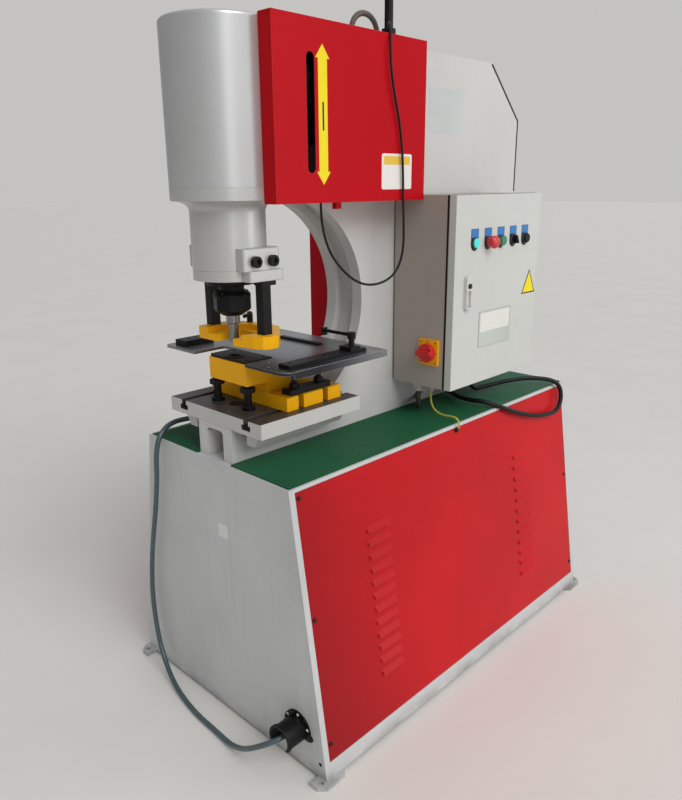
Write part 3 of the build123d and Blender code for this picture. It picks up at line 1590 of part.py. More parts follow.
def make_outlet_hood():
    """A half round cable hood with a flange on the front end plate."""
    flange = lengthwise(hood_flange_radius, hood_x, hood_z, -hood_wall, 0)
    for angle in (-8, 188):
        x = hood_x + hood_flange_radius * cos(radians(angle))
        flange += lengthwise(9, x, hood_z - 12, -hood_wall, 0)
    low = hood_z - 24
    flange -= block(hood_x - 90, hood_x + 90, -90, 90, hood_z - 90, low)
    cowl = lengthwise(hood_pipe_radius, hood_x, hood_z, -hood_length, -hood_wall)
    rim = lengthwise(hood_pipe_radius + 4, hood_x, hood_z, -hood_length, -hood_length + 9)
    inside = lengthwise(hood_pipe_radius - hood_wall, hood_x, hood_z, -hood_length - 1, -hood_wall)
    hood = cowl + rim - inside
    hood -= block(hood_x - 90, hood_x + 90, -hood_length - 1, -hood_wall, hood_z - 90, low)
    hood += flange
    hood -= lengthwise(hose_radius + 2, hood_x, hood_z, -hood_wall - 1, 1)
    screws = ((-51, 22), (-13, 47), (30, 39))
    for x, z in screws:
        reach = 45 / sqrt(x * x + z * z)
        spot = (hood_x + x * reach, hood_z + z * reach)
        hood += lengthwise(6, *spot, -hood_wall - 4, -hood_wall)
        hood -= lengthwise(3, *spot, -hood_wall - 5, -hood_wall - 1)
    save(hood, "outlet_hood")


def make_top_mast():
    """A round post with a clamp foot on top of the C frame."""
    mast = upright(mast_radius, mast_x, mast_y, frame_top + mast_foot, mast_top)
    mast = fillet(mast.edges().group_by(Axis.Z)[-1], 4)
    inner, outer = mast_x - 36, frame_half
    foot_high = frame_top + mast_foot
    mast += block(inner, outer, mast_y - 36, mast_y + 30, frame_top, foot_high)
    mast += upright(mast_radius + 8, mast_x, mast_y, frame_top + mast_foot, frame_top + 40)
    for x in (inner + 11, outer - 11):
        mast += hex_bar(14, x, mast_y - 25, foot_high, foot_high + 8)
    save(mast, "top_mast")


def tube_along(points, radius):
    """A round tube with an arc at each corner that eases into both straight runs."""
    spots = [Vector(*point) for point in points]
    pieces = []
    start = spots[0]
    tightest = 100000.0
    for before, corner, after in zip(spots, spots[1:], spots[2:]):
        back = (before - corner).normalized()
        ahead = (after - corner).normalized()
        reach = 0.45 * min((before - corner).length, (after - corner).length)
        half_turn = radians(180 - back.get_angle(ahead)) / 2
        bend = reach / tan(half_turn)
        tightest = min(tightest, bend)
        inward = (back + ahead).normalized()
        middle = corner + inward * (bend / cos(half_turn) - bend)
        first = corner + back * reach
        last = corner + ahead * reach
        pieces.append(Line(start, first))
        pieces.append(ThreePointArc(first, middle, last))
        start = last
    pieces.append(Line(start, spots[-1]))
    path = Wire(pieces)
    section = Plane(path @ 0, z_dir=path % 0) * Circle(radius)
    print("tightest bend", round(tightest, 1), "on tube of", 2 * radius, "long", round(path.length))
    return sweep(section, path=path)


make_base_frame()
side_panel = make_side_panel()
save(bore_for_earth(side_panel), "near_side_panel")
save(mirror(side_panel, Plane.YZ), "far_side_panel")
make_panel_screws()
save(make_rubber_mat(), "rubber_mat")
make_outlet_hood()
make_power_unit()
make_c_frame()
make_work_table()
make_cylinder_shell()
make_cylinder_barrel()
make_head_neck()
make_head_screws()
make_carrier()
make_ram()
make_trip_arm()
save(make_limit_rail(), "limit_rail")
save(make_limit_switch(upper_switch_z), "upper_limit_switch")
save(make_limit_switch(lower_switch_z), "lower_limit_switch")
make_slot_cover()
make_far_cover()
make_punch_nut()
make_punch()
make_stripper()
make_die_shoe()
make_shoe_bolts()
make_support_plate()
make_gauge_bars()
make_cabinet_body()
make_cabinet_door()
make_control_gear()
make_devices()
make_main_switch()
make_top_mast()
save(tube_along(hose_route, hose_radius), "air_hose")
save(tube_along(control_route, control_radius), "control_cable")
save(tube_along(power_route, power_radius), "power_cable")
save(tube_along(earth_route, earth_radius), "earth_wire")
save(tube_along(conduit_route, conduit_radius), "leg_conduit")
save(tube_along(arch_route, arch_radius), "top_conduit")
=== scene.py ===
"""Hydraulic C frame punching machine, dressed over its CAD model.

In order: camera, materials, cables and hoses, thin prints and plates, floor, light and backdrop.
"""

import json
import math
from collections import namedtuple

import bpy
from mathutils import Matrix, Vector


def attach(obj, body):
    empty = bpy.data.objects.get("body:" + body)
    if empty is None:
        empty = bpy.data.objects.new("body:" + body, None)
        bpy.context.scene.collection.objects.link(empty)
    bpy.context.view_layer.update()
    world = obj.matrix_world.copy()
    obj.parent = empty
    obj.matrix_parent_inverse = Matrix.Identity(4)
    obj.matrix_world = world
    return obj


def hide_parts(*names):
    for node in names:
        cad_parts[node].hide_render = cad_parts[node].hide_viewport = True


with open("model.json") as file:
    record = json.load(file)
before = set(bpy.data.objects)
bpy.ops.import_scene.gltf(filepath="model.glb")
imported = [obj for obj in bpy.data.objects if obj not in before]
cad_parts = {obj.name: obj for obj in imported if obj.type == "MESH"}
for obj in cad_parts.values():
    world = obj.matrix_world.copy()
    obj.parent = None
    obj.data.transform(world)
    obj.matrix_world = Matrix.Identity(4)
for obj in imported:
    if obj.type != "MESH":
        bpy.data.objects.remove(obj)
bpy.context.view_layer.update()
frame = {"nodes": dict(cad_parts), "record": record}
nodes = frame["nodes"]
scene = bpy.context.scene

# Places in mm are measured from the front end plate, as in the part's source
FRONT_SHIFT = 723.0


def mm(x, y, z):
    """A point measured from the front plate in mm, in the shared frame in metres."""
    return Vector((x / 1000, (y - FRONT_SHIFT) / 1000, z / 1000))


# Camera, worked out from the photograph
PHOTO_HEIGHT = 800
FOCAL_PIXELS = 718.92
SENSOR_WIDTH = 36.0
FAR_CLIP = 200
CAMERA_PLACE = (1601.85, -1116.8, 1597.5)
CAMERA_RIGHT = (0.719245, 0.694702, -0.008697)
CAMERA_UP = (-0.193462, 0.212289, 0.957865)
CAMERA_AHEAD = (-0.667277, 0.687257, -0.287086)
camera_data = bpy.data.cameras.new("camera")
camera_data.sensor_fit = "AUTO"
camera_data.sensor_width = SENSOR_WIDTH
camera_data.lens = FOCAL_PIXELS / PHOTO_HEIGHT * SENSOR_WIDTH
camera_data.clip_end = FAR_CLIP
camera = bpy.data.objects.new("camera", camera_data)
scene.collection.objects.link(camera)
turn = Matrix((CAMERA_RIGHT, CAMERA_UP, [-v for v in CAMERA_AHEAD])).transposed()
camera.matrix_world = Matrix.Translation(mm(*CAMERA_PLACE)) @ turn.to_4x4()
scene.camera = camera


# Shader nodes
def feed(tree, value, socket):
    """Link a node's output to a socket, or put a plain value in it."""
    if isinstance(value, bpy.types.NodeSocket):
        tree.links.new(value, socket)
    else:
        socket.default_value = value


def noise(tree, vector, scale, detail=4.0, rough=0.6):
    """Cloudy noise from 0 to 1, with its scale in cells per metre."""
    node = tree.nodes.new("ShaderNodeTexNoise")
    node.inputs["Scale"].default_value = scale
    node.inputs["Detail"].default_value = detail
    node.inputs["Roughness"].default_value = rough
    feed(tree, vector, node.inputs["Vector"])
    return node.outputs[0]


def stretched(tree, vector, scale):
    """A place multiplied axis by axis, so that noise on it is drawn out."""
    node = tree.nodes.new("ShaderNodeMapping")
    node.inputs["Scale"].default_value = scale
    feed(tree, vector, node.inputs["Vector"])
    return node.outputs[0]


def ranged(tree, value, low, high, to_low=0.0, to_high=1.0):
    """A smooth step from one value to another while the input goes from low to high."""
    node = tree.nodes.new("ShaderNodeMapRange")
    node.interpolation_type = "SMOOTHSTEP"
    for socket, given in zip(node.inputs, (value, low, high, to_low, to_high)):
        feed(tree, given, socket)
    return node.outputs[0]


def calculate(tree, operation, *values):
    """A Math node's operation on one or two values."""
    node = tree.nodes.new("ShaderNodeMath")
    node.operation = operation
    for socket, value in zip(node.inputs, values):
        feed(tree, value, socket)
    return node.outputs[0]


def times(tree, a, b):
    """The product of two values."""
    return calculate(tree, "MULTIPLY", a, b)


def dot(tree, a, b):
    """The dot product of two vectors."""
    node = tree.nodes.new("ShaderNodeVectorMath")
    node.operation = "DOT_PRODUCT"
    feed(tree, a, node.inputs[0])
    feed(tree, b, node.inputs[1])
    return node.outputs["Value"]


def separate(tree, vector):
    """The x, y and z of a vector."""
    node = tree.nodes.new("ShaderNodeSeparateXYZ")
    feed(tree, vector, node.inputs[0])
    return node.outputs


def blend_colour(tree, factor, a, b):
    """The first colour where the factor is 0, and the second where it is 1."""
    node = tree.nodes.new("ShaderNodeMix")
    node.data_type = "RGBA"
    feed(tree, factor, node.inputs[0])
    feed(tree, a, node.inputs[6])
    feed(tree, b, node.inputs[7])
    return node.outputs[2]


def new_material(name):
    """A material with one principled shader: the material, its node tree and the shader."""
    mat = bpy.data.materials.new(name)
    mat.use_nodes = True
    tree = mat.node_tree
    tree.nodes.clear()
    out = tree.nodes.new("ShaderNodeOutputMaterial")
    shader = tree.nodes.new("ShaderNodeBsdfPrincipled")
    tree.links.new(shader.outputs[0], out.inputs[0])
    return mat, tree, shader


# Colours
def rgb(code):
    """Linear colour from a six digit code."""
    out = []
    for i in (0, 2, 4):
        c = int(code[i:i + 2], 16) / 255
        out.append(c / 12.92 if c <= 0.04045 else ((c + 0.055) / 1.055) ** 2.4)
    return (*out, 1.0)


def shade(colour, k):
    """A colour made darker or lighter."""
    return tuple(min(1.0, c * k) for c in colour[:3]) + (1.0,)


SETTLED_DUST = "A39C91"
RUN_STAIN = "7D776E"
FLOOR_DIRT = "5A554E"
# Colours of grease on the machined table top, used also as painted shade inside its T slots and slug hole
OIL_AND_RECESS_SHADE_DARK = "2C2827"
OIL_AND_RECESS_SHADE_PALE = "4A4543"

# Where a colour changes, as the two ends of a short step, in metres in the shared frame
TABLE_SIDE = (0.204, 0.206)
TABLE_FRONT = (-0.7065, -0.705)
TABLE_REAR = (-0.326, -0.3245)
TABLE_TOP = (0.955, 0.957)
BELOW_DEVICES = (1.370, 1.375)
DIRT_HEIGHT = (0.004, 0.055)

BEVEL_SAMPLES = 4
RELIEF_DEPTH = 0.001
COAT_ROUGHNESS = 0.12

# Painted shading: a second colour, darker for a painted shade and lighter for a painted reflection, that
# comes in along a direction, from the first to the second distance of its span
Fade = namedtuple("Fade", "code along span amount")


# Layers of a surface's colour
def mottled(tree, place, small, colour, mottle, fine):
    """Broad light and dark patches, with fine dark specks."""
    broad = noise(tree, place, scale=2.3, detail=3.0, rough=0.5)
    patches = blend_colour(tree, ranged(tree, broad, 0.3, 0.7),
                           shade(colour, 1 - mottle), shade(colour, 1 + mottle))
    return blend_colour(tree, ranged(tree, small, 0.45, 0.75, 0.0, fine), patches, shade(colour, 0.4))


def add_painted_shading(tree, place, colour, painted_shading):
    """Painted shading: the second colour comes in along the given direction."""
    part = ranged(tree, dot(tree, place, painted_shading.along), *painted_shading.span, 0.0, painted_shading.amount)
    return blend_colour(tree, part, colour, rgb(painted_shading.code))


def oiled_with_recess_shade(tree, place, colour):
    """The machined top of the table is dark and greasy; its T slots and slug hole get the same dark colours
    as painted shade in those recesses.
    """
    x, y, z = separate(tree, place)
    inside = ranged(tree, calculate(tree, "ABSOLUTE", x), *TABLE_SIDE, 1.0, 0.0)
    behind = ranged(tree, y, *TABLE_FRONT)
    before = ranged(tree, y, *TABLE_REAR, 1.0, 0.0)
    high = ranged(tree, z, *TABLE_TOP)
    # The top, and the T slots and the slug hole's wall down to TABLE_TOP, which get painted shade
    top = times(tree, times(tree, inside, high), times(tree, behind, before))
    scratch = noise(tree, stretched(tree, place, (14.0, 260.0, 14.0)), scale=1.0, detail=3.0)
    oil_and_recess_shade = blend_colour(tree, ranged(tree, scratch, 0.35, 0.7), rgb(OIL_AND_RECESS_SHADE_DARK), rgb(OIL_AND_RECESS_SHADE_PALE))
    return blend_colour(tree, top, colour, oil_and_recess_shade)


def dusted(tree, place, facing, patch, colour, dust, dust_code):
    """Thin dust in patches, and more of it settled on what faces up."""
    thin = blend_colour(tree, ranged(tree, patch, 0.46, 0.72, 0.0, dust), colour, rgb(dust_code))
    upward = ranged(tree, separate(tree, facing)[2], 0.6, 0.98, 0.0, 0.5)
    spots = noise(tree, place, scale=14.0, detail=6.0, rough=0.7)
    settled = times(tree, upward, ranged(tree, spots, 0.42, 0.72, 0.0, 2 * dust))
    return blend_colour(tree, settled, thin, rgb(SETTLED_DUST))


def streaked(tree, place, colour, amount):
    """Faint stains that run down."""
    runs = noise(tree, stretched(tree, place, (38.0, 38.0, 1.6)), scale=1.0)
    return blend_colour(tree, ranged(tree, runs, 0.5, 0.75, 0.0, amount), colour, rgb(RUN_STAIN))


def dirtied(tree, place, colour, amount):
    """Patches of dirt just above the floor."""
    low = ranged(tree, separate(tree, place)[2], *DIRT_HEIGHT, 1.0, 0.0)
    patches = noise(tree, place, scale=7.0, detail=5.0)
    dirt = times(tree, low, ranged(tree, patches, 0.30, 0.75, 0.0, amount))
    return blend_colour(tree, dirt, colour, rgb(FLOOR_DIRT))


def worn_and_highlighted(tree, place, rim, colour, wear, wear_code, painted_rim_highlight, painted_rim_highlight_code):
    """A painted highlight along the edges, and the chips of wear in them."""
    if painted_rim_highlight:
        colour = blend_colour(tree, times(tree, rim, painted_rim_highlight), colour, rgb(painted_rim_highlight_code))
    spots = noise(tree, place, scale=38.0, detail=6.0, rough=0.75)
    chips = times(tree, rim, ranged(tree, spots, 0.47, 0.6, 0.0, wear))
    return blend_colour(tree, chips, colour, rgb(wear_code))


def surface(name, code, rough, spread=0.10, metal=0.0, specular=0.35, coat=0.0,
            mottle=0.05, fine=0.02, dust=0.08, dust_code="8C857A", streak=0.0, low_dirt=0.0,
            edge=0.0012, wear=0.0, wear_code="6E6C68", painted_rim_highlight=0.0, painted_rim_highlight_code="DDA59E",
            bump=0.03, bump_scale=160.0, grain=None, oily_with_recess_shade=False, upper_code=None, painted_shading=None):
    """A used surface: mottled colour, dust, dirt, wear on edges and a fine relief, and where it is asked
    for, a painted highlight along the edges, painted shading along a direction, and painted shade in the
    table's recesses.

    Codes are six digit colours, and the upper one is for what is higher than BELOW_DEVICES. The edge is
    a radius in metres, and the relief's scale and grain are in cells per metre. The rest are amounts
    from 0 to 1.
    """
    mat, tree, shader = new_material(name)
    place = tree.nodes.new("ShaderNodeTexCoord").outputs["Object"]
    facing = tree.nodes.new("ShaderNodeNewGeometry").outputs["Normal"]
    small = noise(tree, place, bump_scale, detail=3.0)
    patch = noise(tree, place, scale=6.0, detail=5.0, rough=0.62)
    bevel = tree.nodes.new("ShaderNodeBevel")
    bevel.samples = BEVEL_SAMPLES
    bevel.inputs["Radius"].default_value = edge

    colour = mottled(tree, place, small, rgb(code), mottle, fine)
    if upper_code:
        colour = blend_colour(tree, ranged(tree, separate(tree, place)[2], *BELOW_DEVICES),
                              colour, rgb(upper_code))
    # Painted shading along a direction, where a surface asks for it
    if painted_shading:
        colour = add_painted_shading(tree, place, colour, painted_shading)
    if oily_with_recess_shade:
        colour = oiled_with_recess_shade(tree, place, colour)
    colour = dusted(tree, place, facing, patch, colour, dust, dust_code)
    if streak:
        colour = streaked(tree, place, colour, streak)
    if low_dirt:
        colour = dirtied(tree, place, colour, low_dirt)
    if wear:
        # The edges: the painted highlight and the chips of wear go here
        rim = ranged(tree, dot(tree, bevel.outputs[0], facing), 0.985, 0.86)
        colour = worn_and_highlighted(tree, place, rim, colour, wear, wear_code, painted_rim_highlight, painted_rim_highlight_code)

    relief = tree.nodes.new("ShaderNodeBump")
    relief.inputs["Strength"].default_value = bump
    relief.inputs["Distance"].default_value = RELIEF_DEPTH
    height = noise(tree, stretched(tree, place, grain), scale=1.0, detail=2.0) if grain else small
    feed(tree, height, relief.inputs["Height"])
    feed(tree, bevel.outputs[0], relief.inputs["Normal"])

    feed(tree, colour, shader.inputs["Base Color"])
    feed(tree, ranged(tree, patch, 0.3, 0.75, rough - 0.4 * spread, rough + spread),
         shader.inputs["Roughness"])
    feed(tree, relief.outputs[0], shader.inputs["Normal"])
    shader.inputs["Metallic"].default_value = metal
    shader.inputs["Specular IOR Level"].default_value = specular
    shader.inputs["Coat Weight"].default_value = coat
    shader.inputs["Coat Roughness"].default_value = COAT_ROUGHNESS
    return mat


# Paints
grey = surface("grey_paint", "C9C8C5", 0.42, coat=0.05, mottle=0.03, dust=0.05, streak=0.03,
               edge=0.002, wear=0.3)
base_grey = surface("base_paint", "C5C6C5", 0.44, coat=0.05, mottle=0.05, dust=0.07, streak=0.12,
                    low_dirt=0.7, edge=0.002, wear=0.4)
powder = surface("cabinet_powder", "C7C8C3", 0.46, mottle=0.02, dust=0.03, streak=0.04,
                 edge=0.0015, wear=0.15, bump=0.09, bump_scale=900.0)
# The cabinet body: a darker beige-grey powder than the door's, darkened partly as painted shade on the
# body's front face
body_powder_with_painted_shade = surface("body_powder_with_painted_shade", "A69F96", 0.40, dust=0.06, streak=0.08,
                      edge=0.0015, wear=0.15, bump=0.09, bump_scale=900.0)
# The table: a greasy dark top, with painted shade in its T slots and slug hole
table_paint = surface("table_paint", "C2C0BC", 0.40, dust=0.10, edge=0.0015, wear=0.5, oily_with_recess_shade=True)
silver = surface("silver_paint", "C2C3C2", 0.30, spread=0.02, metal=0.5, coat=0.1, mottle=0.03,
                 fine=0.0, dust=0.0, edge=0.0015, bump=0.02, bump_scale=520.0)
neck_paint = surface("neck_paint", "BCBCB9", 0.34, metal=0.35, coat=0.1, mottle=0.03, dust=0.02,
                     edge=0.003, wear=0.3)
# The red cover: a pale painted highlight along its edges, and pale pink chips that are wear on the edges and
# also stand in for that highlight
red = surface("red_paint", "B70C18", 0.30, spread=0.03, specular=0.06, fine=0.0, dust=0.0,
              dust_code="8A2226", edge=0.0009, wear=0.5, wear_code="C98880", painted_rim_highlight=0.5,
              bump=0.02, bump_scale=300.0)
# The side panels: darker towards the front and the bottom as painted shade, and a pale pink painted
# highlight along the louvres' edges
panel_red = surface("panel_red", "BE1119", 0.34, spread=0.03, specular=0.14, coat=0.05, mottle=0.09,
                    fine=0.0, dust=0.0, dust_code="8A2A2A", low_dirt=0.2, edge=0.0009, wear=0.2,
                    wear_code="8A5048", painted_rim_highlight=0.6, painted_rim_highlight_code="F0848C", bump=0.02, bump_scale=260.0,
                    painted_shading=Fade("860E16", (0.0, -1.0, -0.3), (0.1, 0.72), 0.8))
orange = surface("orange_paint", "FAB40A", 0.36, specular=0.12, coat=0.05, dust_code="7E5A22",
                 wear=0.7, wear_code="4E4A44", bump=0.06, bump_scale=140.0)
yellow = surface("yellow_paint", "F0A814", 0.38, specular=0.25, mottle=0.04, dust=0.04,
                 dust_code="A07A2A")

# Metals
oxide = surface("black_oxide", "0D0D0D", 0.44, specular=0.2, mottle=0.25, dust=0.05,
                dust_code="2A2826", wear=0.4, wear_code="6C6A66", bump=0.06)
steel = surface("ground_steel", "8E8E8D", 0.26, metal=1.0, mottle=0.12, dust=0.10,
                dust_code="5C5751", bump=0.05, grain=(30.0, 900.0, 30.0))
# The support plate: dark, with a painted reflection that lightens it towards the far side and the rear, and
# a pale painted highlight along its edges; the pale chips are wear on its edges
plate_steel = surface("plate_steel", "303236", 0.26, metal=0.6, mottle=0.14, dust=0.10,
                      dust_code="1E1D1C", edge=0.0022, wear=0.95, wear_code="D0D0D0",
                      painted_rim_highlight=0.75, painted_rim_highlight_code="BDBDBD", bump=0.04, grain=(500.0, 20.0, 20.0),
                      painted_shading=Fade("8A8B8F", (0.6, -0.8, 0.0), (0.60, 0.36), 0.85))
zinc = surface("zinc_steel", "B9B9B7", 0.30, metal=0.75, mottle=0.06)
fittings = surface("door_fittings", "D2D2D0", 0.28, metal=0.25, coat=0.2, mottle=0.03, dust=0.03,
                   upper_code="3A3C40")
dark_screw = surface("dark_screw", "1C1B1A", 0.40, metal=0.4, mottle=0.2, dust=0.10, wear=0.5)

# Rubber and plastic
mat_rubber = surface("green_rubber", "04502E", 0.36, specular=0.18, coat=0.05, mottle=0.12,
                     dust=0.03, dust_code="3E6048", edge=0.0008, bump=0.05)
black_rubber = surface("black_rubber", "0E0E0E", 0.50, specular=0.25, mottle=0.15,
                       dust_code="38342F", bump=0.05)
black_plastic = surface("black_plastic", "0D0D0E", 0.42, specular=0.2, mottle=0.12, dust=0.05,
                        dust_code="38342F", bump=0.04)
red_plastic = surface("red_plastic", "CC1F26", 0.28, coat=0.4, dust=0.05)
green_plastic = surface("green_plastic", "1E7A55", 0.28, coat=0.4, dust=0.05)
cyan_plastic = surface("cyan_plastic", "46E9E3", 0.22, coat=0.5, dust=0.03)
hose_plastic = surface("blue_grey_plastic", "43545A", 0.26, coat=0.3, mottle=0.10, bump=0.02)
earth_yellow = surface("earth_sleeve", "B9B23A", 0.40, mottle=0.12, dust=0.1)
conduit_black = surface("conduit_black", "33302C", 0.50, mottle=0.15, dust=0.25, dust_code="6A645A")
conduit_grey = surface("conduit_grey", "57504A", 0.50, mottle=0.2, dust=0.25, dust_code="857C72")

# Prints and plates
blue_print = surface("legend_blue", "2F78B8", 0.35, mottle=0.04, dust=0.04, edge=0.0004)
black_print = surface("legend_black", "15161B", 0.35, mottle=0.06, dust=0.05, edge=0.0004)
yellow_print = surface("label_yellow", "F2DA1C", 0.35, specular=0.2, mottle=0.03, dust=0.03,
                       edge=0.0002)
cream_print = surface("label_cream", "E6E0DA", 0.35, mottle=0.02, dust=0.04, edge=0.0002)
band_print = surface("label_band", "E3B83A", 0.35, mottle=0.03, dust=0.03, edge=0.0002)
white_print = surface("label_white", "DDDDD6", 0.30, mottle=0.02, dust=0.05, edge=0.0002)
pale_plate = surface("pale_plate", "C2C8C6", 0.45, dust=0.05)
clear_film = surface("clear_film", "B9BFB8", 0.12, coat=0.3, mottle=0.10, dust=0.05, edge=0.0003)
pocket_rim = surface("pocket_rim", "A9ACAA", 0.30, dust=0.05, edge=0.0003)
# Painted shade: a flat dark disc that stands for the dark inside of a hole
hole_painted_shade = surface("hole_painted_shade", "0B0B0B", 0.70, mottle=0.2, dust=0.1, dust_code="22201E")

# What each node of the CAD model wears: a surface of its own, or else the one of its slot
BY_SLOT = {
    "grey_paint": grey, "silver_paint": silver, "red_paint": red, "orange_paint": orange,
    "yellow_paint": yellow, "black_oxide": oxide, "ground_steel": steel, "zinc_steel": zinc,
    "green_rubber": mat_rubber, "black_rubber": black_rubber, "black_plastic": black_plastic,
    "red_plastic": red_plastic, "green_plastic": green_plastic, "cyan_plastic": cyan_plastic,
    "blue_grey_plastic": hose_plastic,
}
BY_NODE = {
    "base_frame": base_grey, "near_side_panel": panel_red, "far_side_panel": panel_red,
    "work_table": table_paint, "cabinet_body": body_powder_with_painted_shade, "cabinet_door": powder,
    "head_neck": neck_paint, "stripper_carrier": neck_paint, "support_plate": plate_steel,
    "ram": oxide, "limit_rail": oxide, "trip_arm": oxide, "door_fittings": fittings,
    "lock_button": dark_screw, "panel_screws": dark_screw,
}
for part in frame["record"]["subparts"]:
    obj = nodes[part["node"]]
    obj.data.materials.clear()
    obj.data.materials.append(BY_NODE.get(part["node"], BY_SLOT[part["material_slot"]]))


def mesh_object(name, verts, faces, mat):
    """A new object in the scene, made of points in metres and faces."""
    data = bpy.data.meshes.new(name)
    data.from_pydata(verts, [], faces)
    data.validate()
    data.update()
    data.materials.append(mat)
    obj = bpy.data.objects.new(name, data)
    scene.collection.objects.link(obj)
    return obj


# Cables and hoses: their routes are the same points as in the part's source
HOSE_ROUTE = (
    (338, 4, 132), (338, -36, 132), (331, -75, 128.5), (303, -101, 111), (257, -108, 76),
    (202, -104, 37), (140, -98, 12), (64, -92, 8.5), (-30, -90, 8.2), (-120, -78, 8.5),
    (-200, -62, 14), (-266, -46, 40), (-314, -36, 92), (-341, -30, 168), (-351, -28, 262),
    (-346, -26, 360), (-328, -26, 455), (-302, -26, 550), (-277, -26, 645), (-256, -28, 735),
    (-246, -31, 808), (-249, -12, 866), (-262, 38, 892), (-244, 100, 897), (-202, 156, 897),
    (-154, 196, 893), (-110, 216, 889), (-66, 226, 888),
)
CONTROL_ROUTE = (
    (75, 672, 2028), (100, 640, 2037), (133, 604, 2036), (166, 569, 2028), (194, 542, 2006),
    (207, 526, 1966), (208, 528, 1905), (207, 545, 1840), (206, 568, 1775), (205, 584, 1705),
    (205, 590, 1630), (204, 594, 1550), (203, 600, 1475), (202, 601, 1410), (199, 585, 1358),
    (196, 550, 1327), (190, 502, 1313), (180, 455, 1314), (168, 412, 1334), (156, 372, 1371),
    (147, 340, 1417), (142, 322, 1471), (140, 316, 1522), (140, 316, 1556),
)
POWER_ROUTE = (
    (190, 1000, 948), (190, 1000, 924.7), (190.5, 1008.7, 903.7), (192, 1024.6, 887.7),
    (194.3, 1045.6, 879), (199, 1085, 878), (212, 1160, 880), (238, 1228, 884), (274, 1284, 886),
    (308, 1325, 881), (336, 1354, 872), (347, 1384.3, 848), (352, 1396, 812), (356, 1384.3, 776),
    (358, 1353.8, 754), (358, 1286, 757), (357, 1198, 773), (353, 1105, 801), (347, 1025, 832),
    (332, 967, 860), (299, 931, 876), (247, 925, 872), (190, 945, 866), (134, 975, 866), (75, 996, 873),
)
EARTH_ROUTE = (
    (220, 734, 940), (220, 734, 916), (226, 734, 891), (243, 733, 875), (268, 732, 868),
    (296, 731, 869), (312, 730, 872), (331, 729, 870), (342, 729, 856), (339, 729, 838),
)
CONDUIT_ROUTE = (
    (180, 720, 940), (180, 720, 916), (174.3, 727.1, 892), (163.8, 740.3, 875.1),
    (149.9, 757.6, 866), (122.5, 791.8, 867), (68, 860, 876),
)
ARCH_ROUTE = (
    (10, 577, 1997), (10, 577, 2046), (10, 612, 2082), (10, 663, 2083), (10, 698, 2047), (10, 699, 1997),
)
CORD_STEPS = 16
CORD_BEVEL_STEPS = 5
GUIDE_STEPS = 64
RIB_PITCH = 5.0
STEPS_PER_RIB = 4
POINTS_AROUND = 16


def route_spline(name, route):
    """A curve object whose NURBS line follows the route's points."""
    curve = bpy.data.curves.new(name, "CURVE")
    curve.dimensions = "3D"
    curve.resolution_u = CORD_STEPS
    spline = curve.splines.new("NURBS")
    spline.points.add(len(route) - 1)
    for point, place in zip(spline.points, route):
        point.co = (*mm(*place), 1.0)
    spline.order_u = 3
    spline.use_endpoint_u = True
    obj = bpy.data.objects.new(name, curve)
    scene.collection.objects.link(obj)
    return obj


def centre_line(obj):
    """The points of a curve that has no bevel, in the shared frame."""
    bpy.context.view_layer.update()
    line = bpy.data.meshes.new_from_object(obj)
    points = [v.co.copy() for v in line.vertices]
    bpy.data.meshes.remove(line)
    return points


def run_length(points):
    """The length of a line through points."""
    return sum((b - a).length for a, b in zip(points, points[1:]))


def even_steps(line, count):
    """Points at equal distances along a line, and the direction ahead at each."""
    total = run_length(line)
    places = []
    ahead = []
    walked = 0.0
    k = 0
    for i in range(count + 1):
        goal = total * i / count
        while k < len(line) - 2 and walked + (line[k + 1] - line[k]).length < goal:
            walked += (line[k + 1] - line[k]).length
            k += 1
        span = line[k + 1] - line[k]
        places.append(line[k] + span * min(1.0, (goal - walked) / span.length))
        ahead.append(span.normalized())
    return places, ahead


def plain_cord(name, node, route, diameter, mat):
    """A smooth round cable or hose."""
    obj = route_spline(name, route)
    length = run_length(centre_line(obj))
    obj.data.bevel_depth = diameter / 2000
    obj.data.bevel_resolution = CORD_BEVEL_STEPS
    obj.data.use_fill_caps = True
    obj.data.materials.append(mat)
    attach(obj, "frame")
    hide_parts(node)


def ribbed_cord(name, node, route, diameter, rib_depth, mat):
    """A corrugated conduit, as a mesh tube whose radius goes in and out."""
    guide = route_spline(name + "_guide", route)
    guide.data.resolution_u = GUIDE_STEPS
    line = centre_line(guide)
    bpy.data.objects.remove(guide)
    count = int(run_length(line) / (RIB_PITCH / 1000 / STEPS_PER_RIB))
    places, ahead = even_steps(line, count)

    side = ahead[0].orthogonal().normalized()
    verts = []
    for i, (place, along) in enumerate(zip(places, ahead)):
        side = (side - along * side.dot(along)).normalized()
        other = along.cross(side)
        inward = 0.5 - 0.5 * math.cos(2 * math.pi * i / STEPS_PER_RIB)
        r = (diameter / 2 - rib_depth * inward) / 1000
        for j in range(POINTS_AROUND):
            a = 2 * math.pi * j / POINTS_AROUND
            verts.append(place + side * (r * math.cos(a)) + other * (r * math.sin(a)))
    rings = [[i * POINTS_AROUND + j for j in range(POINTS_AROUND)] for i in range(count + 1)]
    faces = []
    for ring, following in zip(rings, rings[1:]):
        for j in range(POINTS_AROUND):
            n = (j + 1) % POINTS_AROUND
            faces.append((ring[j], ring[n], following[n], following[j]))
    faces += [tuple(reversed(rings[0])), tuple(rings[-1])]

    obj = mesh_object(name, verts, faces, mat)
    obj.data.polygons.foreach_set("use_smooth", [True] * len(faces))
    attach(obj, "frame")
    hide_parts(node)


